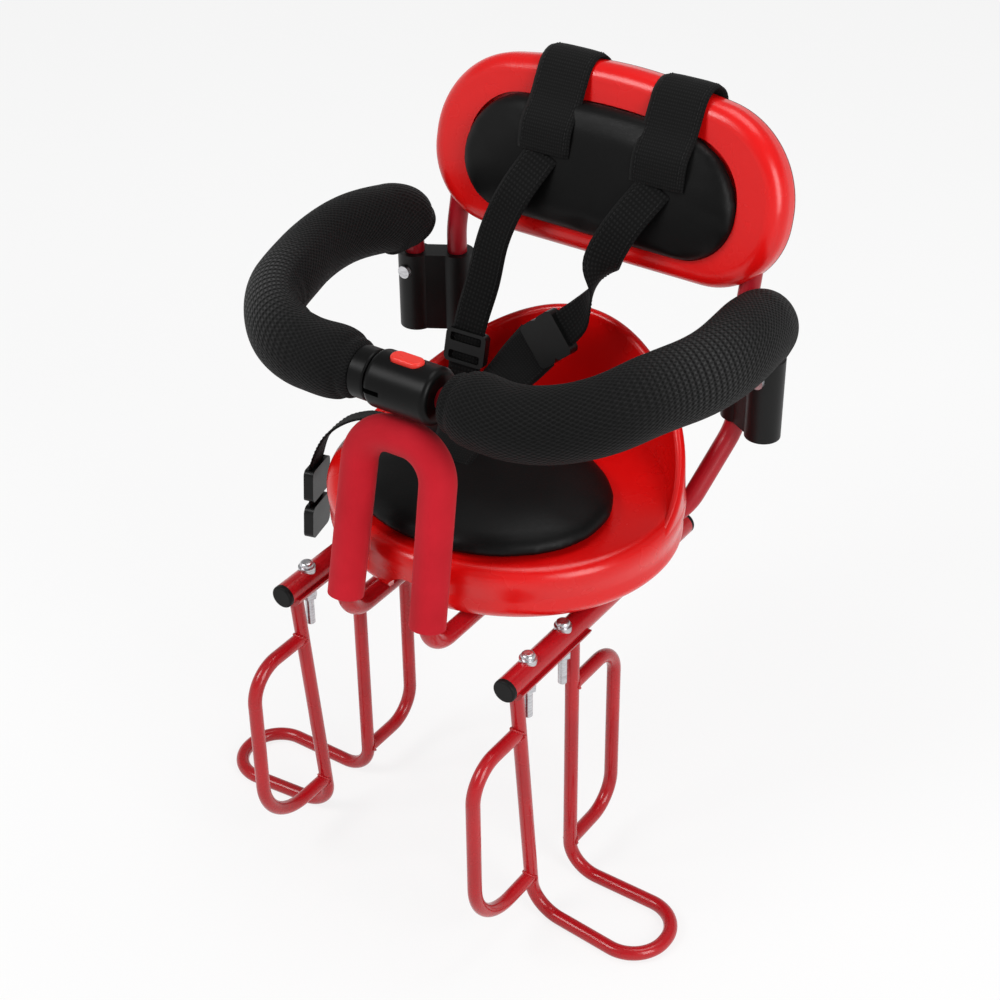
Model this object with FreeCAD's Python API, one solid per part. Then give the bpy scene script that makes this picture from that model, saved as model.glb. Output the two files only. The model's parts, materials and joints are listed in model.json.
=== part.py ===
# Rear child seat for a bicycle rack, in millimetres.
# X points to the right of the photograph, Y to the back of the seat, Z up.
# The origin is the centre of the four rack studs, on the lower faces of their nuts.

import FreeCAD
import Part
import math
import os

V = FreeCAD.Vector
os.makedirs("parts", exist_ok=True)

# Driving dimensions: rack frame
rail_span = 176.0
rail_d = 16.0
rail_wall = 1.5
rail_front_y = -44.0
rail_rear_y = 172.0
stud_pitch = 40.0
stud_d = 6.0
stud_free = 22.0
rack_head_d = 9.4
rack_washer_d = 11.6
shank_d = 6.4
nut_h = 5.0
saddle_t = 2.5
leg_d = 9.5
ground_z = -197.0
front_leg_top_y = -34.0
front_leg_foot_y = -14.0
back_leg_y = 32.0
pedal_out_x = 180.0
pedal_front_y = -22.0
front_guard_y = -82.0
front_guard_top_z = -28.0
front_guard_foot_z = -163.0
rear_guard_y = 85.0
rear_guard_top_z = -32.0
rear_guard_foot_z = -170.0

# Driving dimensions: seat frame and handle
frame_d = 14.0
frame_wall = 1.5
cross_y = 45.0
cross_z = 24.0
back_run_y = 143.0
back_bend_x = 96.0
upright_inset = 20.0
upright_rise_below = 25.0
upright_y = 194.0
handle_d = 12.5
handle_foot_x = 32.5
handle_foot_y = -52.0
handle_top_x = 29.0
handle_top_y = -25.0
handle_top_z = 158.5
handle_bend = 20.0
grip_d = 23.5
grip_foot_z = 43.0

# Driving dimensions: seat
seat_y = 85.0
seat_a = 123.0
seat_b = 112.0
seat_foot_z = 36.0
seat_foot_inset = 6.0
deck_z = 73.0
seat_wall = 4.0
wall_t = 7.0
wall_top_z = 150.0
seat_bolt_x = 55.0
cushion_y = 57.0
cushion_a = 94.0
cushion_b = 76.0
cushion_h = 19.0

# Driving dimensions: backrest
back_tilt = 14.0
back_foot_y = 181.0
back_foot_z = 193.0
back_half_w = 134.0
back_h = 120.0
back_t = 28.0
back_split = 20.0
back_wall = 3.0

# Driving dimensions: arms, hinge brackets and lock
arm_z = 192.0
arm_front_y = -20.0
arm_d = 14.0
arm_wall = 1.5
arm_corner_x = 117.0
arm_side_x = 154.0
arm_side_y = 95.0
arm_bend = 66.0
arm_bow = 150.0
pivot_x = 140.0
pivot_y = 179.0
pivot_bend = 26.0
pivot_foot_z = 107.0
bracket_top_z = 160.0
bracket_foot_z = 102.0
sleeve_left_x = 31.0
sleeve_right_x = 33.5
lock_d = 36.5
lock_left_x = 19.0
lock_right_x = 27.0
button_x = 3.0
button_len = 23.0
button_w = 11.0
button_travel = 3.0

# Driving dimensions: harness
strap_w = 25.0
strap_t = 2.0
pad_w = 40.0
pad_t = 4.0
strap_x = 43.0
strap_shift = 8.0

# Clearances
play = 0.05
run_play = 0.08
gap = 0.4
lay = 0.3

# Derived positions
rail_x = rail_span / 2
rail_r = rail_d / 2
rail_z = nut_h + saddle_t + rail_r
saddle_r = rail_r + saddle_t
pedal_z = ground_z + leg_d / 2
upright_x = back_half_w - upright_inset
upright_len = back_h - upright_rise_below
frame_r = frame_d / 2
back_run_z = rail_z + rail_r + frame_r - 1.0
sides = (("left", -1.0), ("right", 1.0))
parts = {}


# Helpers
def cylinder(base, axis, radius, length):
    return Part.makeCylinder(radius, length, base, axis)


def path(points, radii):
    """A wire of straight runs with a tangent arc at each inner point."""
    edges = []
    last = points[0]
    for i in range(1, len(points) - 1):
        before = (points[i] - points[i - 1]).normalize()
        after = (points[i + 1] - points[i]).normalize()
        turn = before.getAngle(after)
        cut = radii[i - 1] * math.tan(turn / 2)
        start = points[i] - before * cut
        end = points[i] + after * cut
        inward = (after - before).normalize()
        centre = points[i] + inward * (radii[i - 1] / math.cos(turn / 2))
        middle = centre - inward * radii[i - 1]
        edges.append(Part.LineSegment(last, start).toShape())
        edges.append(Part.Arc(start, middle, end).toShape())
        last = end
    edges.append(Part.LineSegment(last, points[-1]).toShape())
    return Part.Wire(edges)


def rod(points, radii, diameter):
    """A round bar bent along the points."""
    spine = path(points, radii)
    along = points[1] - points[0]
    ring = Part.Wire([Part.Circle(points[0], along, diameter / 2).toShape()])
    return spine.makePipeShell([ring], True, False)


def tube(points, radii, diameter, wall):
    """A bent round tube, open at both ends."""
    return rod(points, radii, diameter).cut(rod(points, radii, diameter - 2 * wall))


def spans(points, radii):
    """Lengths of the straight runs and arcs of path(), in order."""
    lengths = []
    for edge in path(points, radii).Edges:
        lengths.append(edge.Length)
    return lengths


def walk(points, radii, distance):
    """The spot and direction at a distance along the wire of path()."""
    last = points[0]
    for i in range(1, len(points) - 1):
        before = (points[i] - points[i - 1]).normalize()
        after = (points[i + 1] - points[i]).normalize()
        turn = before.getAngle(after)
        radius = radii[i - 1]
        cut = radius * math.tan(turn / 2)
        start = points[i] - before * cut
        straight = (start - last).Length
        if distance <= straight:
            return last + before * distance, before
        distance -= straight
        if distance <= radius * turn:
            inward = (after - before * before.dot(after)).normalize()
            angle = distance / radius
            spot = start + before * (radius * math.sin(angle)) + inward * (radius * (1 - math.cos(angle)))
            return spot, before * math.cos(angle) + inward * math.sin(angle)
        distance -= radius * turn
        last = points[i] + after * cut
    ahead = (points[-1] - points[-2]).normalize()
    return last + ahead * distance, ahead


def oval(a, b, y, z, count=24):
    """A closed smooth oval in a level plane."""
    points = []
    for i in range(count):
        t = 2 * math.pi * i / count
        points.append(V(a * math.cos(t), y + b * math.sin(t), z))
    curve = Part.BSplineCurve()
    curve.interpolate(points, True)
    return Part.Wire([curve.toShape()])


def section(centre, out, up, a, b, lean, count=16):
    """A closed smooth ellipse across a sleeve: a is its half thickness, b its half height."""
    points = []
    for i in range(count):
        t = 2 * math.pi * i / count
        p = a * math.cos(t)
        q = b * math.sin(t)
        u = p * math.cos(lean) - q * math.sin(lean)
        w = p * math.sin(lean) + q * math.cos(lean)
        points.append(centre + out * u + up * w)
    curve = Part.BSplineCurve()
    curve.interpolate(points, True)
    return Part.Wire([curve.toShape()])


def rounded(corners, radii):
    """A closed outline in the XY plane with a rounded corner at each point."""
    count = len(corners)
    starts = []
    ends = []
    middles = []
    for i in range(count):
        here = V(corners[i][0], corners[i][1], 0)
        prev = V(corners[i - 1][0], corners[i - 1][1], 0)
        follow = V(corners[(i + 1) % count][0], corners[(i + 1) % count][1], 0)
        before = (here - prev).normalize()
        after = (follow - here).normalize()
        turn = before.getAngle(after)
        cut = radii[i] * math.tan(turn / 2)
        inward = (after - before).normalize()
        centre = here + inward * (radii[i] / math.cos(turn / 2))
        starts.append(here - before * cut)
        ends.append(here + after * cut)
        middles.append(centre - inward * radii[i])
    edges = []
    for i in range(count):
        edges.append(Part.Arc(starts[i], middles[i], ends[i]).toShape())
        edges.append(Part.LineSegment(ends[i], starts[(i + 1) % count]).toShape())
    return Part.Wire(edges)


def slab(wire, z0, z1):
    face = Part.Face(wire)
    face.translate(V(0, 0, z0))
    return face.extrude(V(0, 0, z1 - z0))


def ribbon(stations, width, thick):
    """A flat strap through stations of point, direction across it and direction out of it."""
    wires = []
    for centre, across, out in stations:
        a = V(across)
        a.normalize()
        o = V(out)
        o.normalize()
        half = a * (width / 2)
        corners = [centre - half, centre + half, centre + half + o * thick, centre - half + o * thick]
        corners.append(corners[0])
        wires.append(Part.makePolygon(corners))
    return Part.makeLoft(wires, True, True)


def nut(across, height, base, bore):
    """A hexagon nut with its axis along Z."""
    corners = []
    for i in range(7):
        t = math.pi / 3 * i
        corners.append(base + V(across / math.sqrt(3) * math.cos(t), across / math.sqrt(3) * math.sin(t), 0))
    body = Part.Face(Part.makePolygon(corners)).extrude(V(0, 0, height))
    return body.cut(cylinder(base - V(0, 0, 1), V(0, 0, 1), bore / 2, height + 2))


# Rails, plugs and saddle strips
rack_at = []
for sx in (-1, 1):
    for sy in (-1, 1):
        rack_at.append((sx * rail_x, sy * stud_pitch / 2))
rail_len = rail_rear_y - rail_front_y
saddle_y0 = front_leg_top_y - leg_d / 2 - 2
saddle_y1 = back_leg_y + leg_d / 2 + 2
plug_list = []
for side, s in sides:
    front = V(s * rail_x, rail_front_y, rail_z)
    rear = V(s * rail_x, rail_rear_y, rail_z)
    rail = cylinder(front, V(0, 1, 0), rail_r, rail_len)
    rail = rail.cut(cylinder(front - V(0, 1, 0), V(0, 1, 0), rail_r - rail_wall, rail_len + 2))
    strip = cylinder(V(s * rail_x, saddle_y0, rail_z), V(0, 1, 0), saddle_r, saddle_y1 - saddle_y0)
    strip = strip.cut(cylinder(V(s * rail_x, saddle_y0 - 1, rail_z), V(0, 1, 0), rail_r, saddle_y1 - saddle_y0 + 2))
    top = Part.makeBox(4 * rail_d, saddle_y1 - saddle_y0 + 2, 4 * rail_d)
    top.translate(V(s * rail_x - 2 * rail_d, saddle_y0 - 1, rail_z - rail_r * 0.3))
    strip = strip.cut(top)
    for x, y in rack_at:
        hole = cylinder(V(x, y, -5), V(0, 0, 1), shank_d / 2 + play, 60)
        rail = rail.cut(hole)
        strip = strip.cut(hole)
    parts[side + "_rail"] = rail
    parts[side + "_saddle_strip"] = strip
    for end, way in ((front, -1.0), (rear, 1.0)):
        stem = cylinder(end - V(0, way * 12, 0), V(0, way, 0), rail_r - rail_wall - play, 12)
        cap = cylinder(end, V(0, way, 0), rail_r, 3.5)
        rim = [e for e in cap.Edges if abs(e.CenterOfMass.y - (end.y + way * 3.5)) < 0.01]
        cap = cap.makeFillet(1.5, rim)
        plug_list.append(stem.fuse(cap).removeSplitter())
parts["rail_plugs"] = Part.makeCompound(plug_list)

# Rack bolts: a curved washer on the rail, a nut under the saddle strip and a free stud below it
washer_list = []
bolt_list = []
nut_list = []
washer_top = rail_z + rail_r + 1.5
for x, y in rack_at:
    lower = cylinder(V(x, y - 20, rail_z), V(0, 1, 0), rail_r, 40)
    washer = cylinder(V(x, y, rail_z), V(0, 0, 1), rack_washer_d / 2, rail_r + 1.5).cut(lower)
    washer_list.append(washer.cut(cylinder(V(x, y, 0), V(0, 0, 1), shank_d / 2 + play, 60)))
    head = cylinder(V(x, y, washer_top), V(0, 0, 1), rack_head_d / 2, 3.6)
    head = head.makeFillet(2.4, [e for e in head.Edges if e.CenterOfMass.z > washer_top + 3])
    shank = cylinder(V(x, y, 0), V(0, 0, 1), shank_d / 2, washer_top)
    free = cylinder(V(x, y, -stud_free), V(0, 0, 1), stud_d / 2, stud_free)
    free = free.makeChamfer(0.8, [e for e in free.Edges if e.CenterOfMass.z < -stud_free + 0.1 and e.Closed])
    bolt_list.append(head.fuse([shank, free]).removeSplitter())
    hexagon = nut(10.0, rail_z, V(x, y, 0), shank_d + 2 * play)
    nut_list.append(hexagon.cut(cylinder(V(x, y - 20, rail_z), V(0, 1, 0), saddle_r, 40)))
parts["rack_washers"] = Part.makeCompound(washer_list)
parts["rack_bolts"] = Part.makeCompound(bolt_list)
parts["rack_nuts"] = Part.makeCompound(nut_list)

# Leg rods with the footrest loop, and the guards welded to them
leg_fall = (front_leg_foot_y - front_leg_top_y) / (rail_z - pedal_z)


def front_leg_y(z):
    return front_leg_top_y + leg_fall * (rail_z - z)


for side, s in sides:
    x = s * rail_x
    leg = rod(
        [
            V(x, front_leg_top_y, rail_z),
            V(x, front_leg_foot_y, pedal_z),
            V(s * pedal_out_x, pedal_front_y, pedal_z),
            V(s * pedal_out_x, back_leg_y, pedal_z),
            V(x, back_leg_y, pedal_z),
            V(x, back_leg_y, rail_z),
        ],
        [22.0, 25.0, 25.0, 22.0],
        leg_d,
    )
    leg = leg.cut(cylinder(V(x, -200, rail_z), V(0, 1, 0), saddle_r, 400))
    parts[side + "_leg_rod"] = leg
    guard = rod(
        [
            V(x, front_leg_y(front_guard_top_z), front_guard_top_z),
            V(x, front_guard_y, front_guard_top_z),
            V(x, front_guard_y, front_guard_foot_z),
            V(x, front_leg_y(front_guard_foot_z), front_guard_foot_z),
        ],
        [24.0, 40.0],
        leg_d,
    )
    parts[side + "_front_guard"] = guard.cut(leg)
    guard = rod(
        [
            V(x, back_leg_y, rear_guard_top_z),
            V(x, rear_guard_y, rear_guard_top_z),
            V(x, rear_guard_y, rear_guard_foot_z),
            V(x, back_leg_y, rear_guard_foot_z),
        ],
        [22.0, 24.0],
        leg_d,
    )
    parts[side + "_rear_guard"] = guard.cut(leg)

# Front cross tube, between the rails under the seat
cross = cylinder(V(-rail_x, cross_y, cross_z), V(1, 0, 0), frame_r, rail_span)
cross = cross.cut(cylinder(V(-rail_x - 1, cross_y, cross_z), V(1, 0, 0), frame_r - frame_wall, rail_span + 2))
for s in (-1, 1):
    cross = cross.cut(cylinder(V(s * rail_x, 0, rail_z), V(0, 1, 0), rail_r, rail_rear_y))

# Back frame tube: over the rails and up both sides
tilt = math.radians(back_tilt)
tilt_up = V(0, math.sin(tilt), math.cos(tilt))
tilt_back = V(0, math.cos(tilt), -math.sin(tilt))
upright_knee = 178.0
upright_top = V(upright_x, upright_y, upright_knee) + tilt_up * upright_len
half_points = [
    upright_top,
    V(upright_x, upright_y, upright_knee),
    V(upright_x, upright_y, 96.0),
    V(back_bend_x, back_run_y, back_run_z),
]
back_points = list(half_points)
for p in reversed(half_points):
    back_points.append(V(-p.x, p.y, p.z))
back_radii = [60.0, 40.0, 38.0, 38.0, 40.0, 60.0]
back_frame = tube(back_points, back_radii, frame_d, frame_wall)
for s in (-1, 1):
    back_frame = back_frame.cut(cylinder(V(s * rail_x, 100, rail_z), V(0, 1, 0), rail_r, 100))

# Handle tube and its foam grip
foot = V(handle_foot_x, handle_foot_y, cross_z)
crown = V(handle_top_x, handle_top_y, handle_top_z)
handle_points = [
    V(-foot.x, cross_y, foot.z),
    V(-foot.x, foot.y, foot.z),
    V(-crown.x, crown.y, crown.z),
    V(crown.x, crown.y, crown.z),
    foot,
    V(foot.x, cross_y, foot.z),
]
handle_radii = [handle_bend, 24.0, 24.0, handle_bend]
handle_body = rod(handle_points, handle_radii, handle_d)
handle = handle_body.cut(rod(handle_points, handle_radii, handle_d - 2 * frame_wall))
handle = handle.cut(cylinder(V(-rail_x, cross_y, cross_z), V(1, 0, 0), frame_r, rail_span))
parts["handle_tube"] = handle
rise = (crown - foot).normalize()
grip_start = foot + rise * ((grip_foot_z - foot.z) / rise.z)
grip_points = [
    V(-grip_start.x, grip_start.y, grip_start.z),
    V(-crown.x, crown.y, crown.z),
    crown,
    grip_start,
]
parts["handle_grip"] = rod(grip_points, [24.0, 24.0], grip_d).cut(handle_body)

# Seat shell: skirt body with a rounded rim, raised rear wall, hollow below
body = Part.makeLoft(
    [
        oval(seat_a - seat_foot_inset, seat_b - seat_foot_inset, seat_y, seat_foot_z),
        oval(seat_a - 0.3 * seat_foot_inset, seat_b - 0.3 * seat_foot_inset, seat_y, seat_foot_z + 14),
        oval(seat_a, seat_b, seat_y, deck_z - 9),
        oval(seat_a - 1.5, seat_b - 1.5, seat_y, deck_z - 4),
        oval(seat_a - 5, seat_b - 5, seat_y, deck_z - 1),
        oval(seat_a - 10, seat_b - 10, seat_y, deck_z),
    ],
    True,
    False,
)
seat_front = seat_y - seat_b
seat_rear = seat_y + seat_b
wall_h = wall_top_z - deck_z
wall_r = wall_t / 2
wall_foot = 16.0


def wall_profile(angle):
    """The closed outline of the rear wall across its thickness, with a round top."""
    u = math.sin(angle)
    top = deck_z + wall_h * (0.49 * u + 0.56 * u * u) - 4.0
    lean = lay + 4.0 * (top - deck_z + 4.0) / wall_h

    def at(inset, z):
        return V((seat_a - inset) * math.cos(angle), seat_y + (seat_b - inset) * u, z)

    shoulder = top - wall_r
    toe = deck_z - 3.0
    bend = Part.BSplineCurve()
    bend.interpolate(
        [
            at(lean + wall_t, shoulder),
            at(lean + wall_t + 0.25 * (wall_foot - lean - wall_t), toe + 0.45 * (shoulder - toe)),
            at(wall_foot, toe),
        ]
    )
    return Part.Wire(
        [
            Part.LineSegment(at(lay, deck_z - 14.0), at(lean, shoulder)).toShape(),
            Part.Arc(at(lean, shoulder), at(lean + wall_r, top), at(lean + wall_t, shoulder)).toShape(),
            bend.toShape(),
            Part.LineSegment(at(wall_foot, toe), at(lay, deck_z - 14.0)).toShape(),
        ]
    )


rear_wall = Part.makeLoft([wall_profile(math.pi * i / 16) for i in range(17)], True, False)
skirt_in = seat_foot_inset + seat_wall
skirt_mid = 0.3 * seat_foot_inset + seat_wall
under = Part.makeLoft(
    [
        oval(seat_a - skirt_in, seat_b - skirt_in, seat_y, seat_foot_z - 1),
        oval(seat_a - skirt_mid, seat_b - skirt_mid, seat_y, seat_foot_z + 14),
        oval(seat_a - 1 - seat_wall, seat_b - 1 - seat_wall, seat_y, deck_z - 9),
        oval(seat_a - 3 - seat_wall, seat_b - 3 - seat_wall, seat_y, deck_z - 5.5),
        oval(seat_a - 6 - seat_wall, seat_b - 6 - seat_wall, seat_y, deck_z - seat_wall),
    ],
    True,
    True,
)
shell = body.cut(under)
surround = rear_wall.cut(body)
notch = cylinder(V(0, seat_front - 40, seat_foot_z - 4), V(0, 1, 0), 19.0, 90)
shell = shell.cut(notch)
cross_bar = cylinder(V(-200, cross_y, cross_z), V(1, 0, 0), frame_r, 400)
back_bar = cylinder(V(-200, back_run_y, back_run_z), V(1, 0, 0), frame_r, 400)
seat_bolts = []
seat_nuts = []
head_pockets = []
blind = 8.0
for y, z, bar, through in ((cross_y, cross_z, cross_bar, True), (back_run_y, back_run_z, back_bar, False)):
    for s in (-1, 1):
        at = V(s * seat_bolt_x, y, 0)
        boss = cylinder(at + V(0, 0, z), V(0, 0, 1), 9.0, deck_z - 1 - z).cut(bar)
        shell = shell.fuse(boss)
        bore = cylinder(at, V(0, 0, 1), 3.0 + play, 120 if through else deck_z - blind)
        shell = shell.cut(bore)
        cross = cross.cut(bore)
        back_frame = back_frame.cut(bore)
        if through:
            low = z - frame_r - 7
            head = cylinder(at + V(0, 0, deck_z), V(0, 0, 1), 7.0, 3.0)
            shank = cylinder(at + V(0, 0, low), V(0, 0, 1), 3.0, deck_z - low)
            head_pockets.append(cylinder(at + V(0, 0, deck_z - 1), V(0, 0, 1), 7.5, 4.5))
            seat_nuts.append(nut(10.0, frame_r + 5, at + V(0, 0, z - frame_r - 5), 6.0 + 2 * play).cut(bar))
        else:
            low = z - frame_r - 4
            head = cylinder(at + V(0, 0, low), V(0, 0, 1), 5.5, frame_r + 4).cut(bar)
            shank = cylinder(at + V(0, 0, low), V(0, 0, 1), 3.0, deck_z - blind - 1 - low)
        seat_bolts.append(head.fuse(shank).removeSplitter())
passing = rod(back_points, back_radii, frame_d + 6)
inboard = Part.makeBox(2 * seat_bolt_x + 24, 400, 400)
inboard.translate(V(-seat_bolt_x - 12, 0, -100))
shell = shell.cut(passing.cut(inboard))
surround = surround.cut(passing.cut(inboard))
surround = max(surround.Solids, key=lambda piece: piece.Volume)
parts["front_cross_tube"] = cross
parts["back_frame_tube"] = back_frame
parts["seat_shell"] = shell
parts["seat_rear_wall"] = surround
parts["seat_bolts"] = Part.makeCompound(seat_bolts)
parts["seat_nuts"] = Part.makeCompound(seat_nuts)

# Seat cushion on the deck
cushion = Part.makeLoft(
    [
        oval(cushion_a, cushion_b, cushion_y, deck_z),
        oval(cushion_a + 1, cushion_b + 1, cushion_y, deck_z + 0.35 * cushion_h),
        oval(cushion_a - 6, cushion_b - 6, cushion_y, deck_z + 0.74 * cushion_h),
        oval(cushion_a - 22, cushion_b - 21, cushion_y, deck_z + 0.93 * cushion_h),
        oval(cushion_a - 50, cushion_b - 42, cushion_y, deck_z + cushion_h),
    ],
    True,
    False,
)
for pocket in head_pockets:
    cushion = cushion.cut(pocket)
parts["seat_cushion"] = cushion

# Backrest in its own tilted frame: x across to the left, y up along the back, z from front to rear
back_place = FreeCAD.Placement(
    FreeCAD.Matrix(-1, 0, 0, 0, 0, tilt_up.y, tilt_back.y, back_foot_y, 0, tilt_up.z, tilt_back.z, back_foot_z)
)


def back_outline(inset, crown_up=10.0):
    w = back_half_w - inset
    low = inset
    high = back_h - inset
    low_bend = 0.46 * (back_h - crown_up) - inset
    high_bend = 0.58 * (back_h - crown_up) - inset
    return rounded(
        [(-w, low), (w, low), (w, high - crown_up), (0, high + crown_up), (-w, high - crown_up)],
        [low_bend, low_bend, high_bend, 360, high_bend],
    )


def back_body(inset, z0, z1, soften):
    body = slab(back_outline(inset), z0, z1)
    rims = [e for e in body.Edges if abs(e.CenterOfMass.z - z0) < 0.01 or abs(e.CenterOfMass.z - z1) < 0.01]
    return body.makeFillet(soften, rims)


def placed(shape):
    copy = shape.copy()
    copy.transformShape(back_place.toMatrix(), True)
    return copy


whole = back_body(0, 0, back_t, 11.5)
hollow = back_body(back_wall, back_wall, back_t - back_wall, 8.5)
cover = whole.cut(hollow)
front_half = Part.makeBox(400, 400, back_split)
front_half.translate(V(-200, -100, 0))
front_shell = cover.common(front_half)
rear_shell = cover.cut(front_half)
pocket_w = back_half_w - 31.0
pocket_low = 15.0
pocket_high = back_h - 24.0


low_r = 0.46 * (pocket_high - 5 - pocket_low)
high_r = 0.54 * (pocket_high - 5 - pocket_low)


def pad_outline(grow):
    w = pocket_w + grow
    return rounded(
        [
            (-w, pocket_low - grow),
            (w, pocket_low - grow),
            (w, pocket_high - 5 + grow),
            (0, pocket_high + 7 + grow),
            (-w, pocket_high - 5 + grow),
        ],
        [low_r + grow, low_r + grow, high_r + grow, 320, high_r + grow],
    )


pocket_depth = 5.0
pan = slab(pad_outline(3.0), 1.0, pocket_depth + back_wall)
front_shell = front_shell.fuse(pan.common(whole)).cut(slab(pad_outline(0.0), -30, pocket_depth))
pad = slab(pad_outline(-0.2), -11.0, pocket_depth)
pad = pad.makeFillet(12.0, [e for e in pad.Edges if abs(e.CenterOfMass.z + 11.0) < 0.01])
parts["backrest_cushion"] = placed(pad)
screw_at = [(-62.0, 32.0), (62.0, 32.0), (-62.0, 92.0), (62.0, 92.0)]
back_screws = []
for x, y in screw_at:
    post = cylinder(V(x, y, pocket_depth + 1), V(0, 0, 1), 5.0, back_split - pocket_depth - 1)
    front_shell = front_shell.fuse(post).cut(cylinder(V(x, y, pocket_depth + 5), V(0, 0, 1), 2.0 + play, 40))
    column = cylinder(V(x, y, back_split), V(0, 0, 1), 5.0, back_t - back_split - 1)
    rear_shell = rear_shell.fuse(column).cut(cylinder(V(x, y, 0), V(0, 0, 1), 2.0 + play, 60))
    rear_shell = rear_shell.cut(cylinder(V(x, y, back_t - 2.5), V(0, 0, 1), 4.2, 10))
    shank = cylinder(V(x, y, pocket_depth + 6), V(0, 0, 1), 2.0, back_t - 2.5 - pocket_depth - 6)
    head = cylinder(V(x, y, back_t - 2.5), V(0, 0, 1), 3.8, 2.0)
    back_screws.append(placed(shank.fuse(head).removeSplitter()))
parts["backrest_screws"] = Part.makeCompound(back_screws)
upright_bores = []
sockets = []
for s in (-1, 1):
    base = V(s * upright_x, upright_y, upright_knee) - tilt_up * 3
    upright_bores.append(cylinder(base, tilt_up, frame_r + play, upright_len + 3 + play))
    sockets.append(cylinder(base + tilt_up * 2, tilt_up, frame_r + 3.5, upright_len + 4))
front_world = placed(front_shell)
rear_world = placed(rear_shell)
inside_rear = placed(whole.cut(front_half))
for bore, socket in zip(upright_bores, sockets):
    rear_world = rear_world.fuse(socket.common(inside_rear)).cut(bore)
    front_world = front_world.cut(bore)
parts["backrest_front_shell"] = front_world
parts["backrest_rear_shell"] = rear_world

# Hinge brackets: a clamp on the upright and a vertical bearing for the arm
hinge_list = []
for side, s in sides:
    post = V(s * upright_x, upright_y, bracket_foot_z)
    pivot = V(s * pivot_x, pivot_y, bracket_foot_z)
    tall = bracket_top_z - bracket_foot_z
    link = pivot - post
    reach = link.Length
    block = cylinder(post, V(0, 0, 1), 12.0, tall).fuse(cylinder(pivot, V(0, 0, 1), 12.0, tall))
    web = Part.makeBox(reach, 18.0, tall)
    web.translate(V(0, -9.0, 0))
    web.rotate(V(0, 0, 0), V(0, 0, 1), math.degrees(math.atan2(link.y, link.x)))
    web.translate(post)
    block = block.fuse(web).removeSplitter()
    block = block.cut(rod(back_points, back_radii, frame_d + 2 * play))
    block = block.cut(cylinder(V(pivot.x, pivot.y, pivot_foot_z - gap), V(0, 0, 1), arm_d / 2 + run_play, tall))
    hub_z = bracket_top_z - 12.0
    spigot = V(pivot.x, pivot.y - 16.0, hub_z)
    block = block.cut(cylinder(spigot, V(0, 1, 0), 2.5 + play, 12.0))
    flat = cylinder(V(pivot.x, pivot.y - 20.0, hub_z), V(0, 1, 0), 5.2, 8.5)
    block = block.cut(flat)
    parts[side + "_hinge_bracket"] = block
    shank = cylinder(V(pivot.x, pivot.y - 11.5, hub_z), V(0, 1, 0), 2.5, 4.9)
    head = cylinder(V(pivot.x, pivot.y - 14.5, hub_z), V(0, 1, 0), 4.6, 3.0)
    hinge_list.append(shank.fuse(head).removeSplitter())
parts["hinge_screws"] = Part.makeCompound(hinge_list)

# Arm tubes: vertical in the bearing, forward, then in to the lock
arm_inner = {"left": lock_left_x + 2.0, "right": lock_right_x - 11.0}
sleeve_start = {"left": sleeve_left_x, "right": sleeve_right_x}
groove_z = bracket_top_z - 12.0
up = V(0, 0, 1)
half_t = [17.5, 22.5, 22.5, 21.0, 19.5, 19.5, 20.5, 21.0, 21.0, 20.5, 18.5, 14.0]
half_h = [17.5, 22.5, 23.0, 23.5, 24.0, 24.5, 25.0, 26.0, 25.5, 23.0, 19.0, 14.0]
leaned = [0, 0, 0, 5, 10, 16, 20, 18, 12, 6, 0, 0]
lifted = [0, 0, 0, 2.0, 5.0, 8.0, 7.5, 1.5, -0.5, -0.5, 0, 0]
for side, s in sides:
    inner_end = V(s * arm_inner[side], arm_front_y, arm_z)
    bends = [arm_bend, arm_bow, pivot_bend]
    points = [
        inner_end,
        V(s * arm_corner_x, arm_front_y, arm_z),
        V(s * arm_side_x, arm_side_y, arm_z),
        V(s * pivot_x, pivot_y, arm_z),
        V(s * pivot_x, pivot_y, pivot_foot_z),
    ]
    solid = rod(points, bends, arm_d)
    arm = solid.cut(rod(points, bends, arm_d - 2 * arm_wall))
    ring = cylinder(V(s * pivot_x, pivot_y, groove_z - 3.2), V(0, 0, 1), arm_d / 2 + 1, 6.4)
    ring = ring.cut(cylinder(V(s * pivot_x, pivot_y, groove_z - 4), V(0, 0, 1), arm_d / 2 - 0.9, 8))
    parts[side + "_arm_tube"] = arm.cut(ring)
    front, bend, near, bow, far, drop, down = spans(points, bends)
    start = sleeve_start[side] - arm_inner[side]
    side_len = near + bow + far
    marks = [start, start + 15.5]
    for t in (0, 0.33, 0.67, 1):
        marks.append(front + bend * t)
    for t in (0.45, 1):
        marks.append(front + bend + side_len * t)
    for t in (0.22, 0.45, 0.66, 0.78):
        marks.append(front + bend + side_len + drop * t)
    wires = []
    for d, a, b, lean, lift in zip(marks, half_t, half_h, leaned, lifted):
        centre, ahead = walk(points, bends, d)
        out = V(ahead.x, ahead.y, 0).cross(up).normalize() * s
        tall = out.cross(ahead) * s
        wires.append(section(centre + tall * lift, out, tall, a, b, math.radians(lean)))
    sleeve = Part.makeLoft(wires, True, False)
    parts[side + "_arm_sleeve"] = sleeve.cut(solid)

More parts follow.
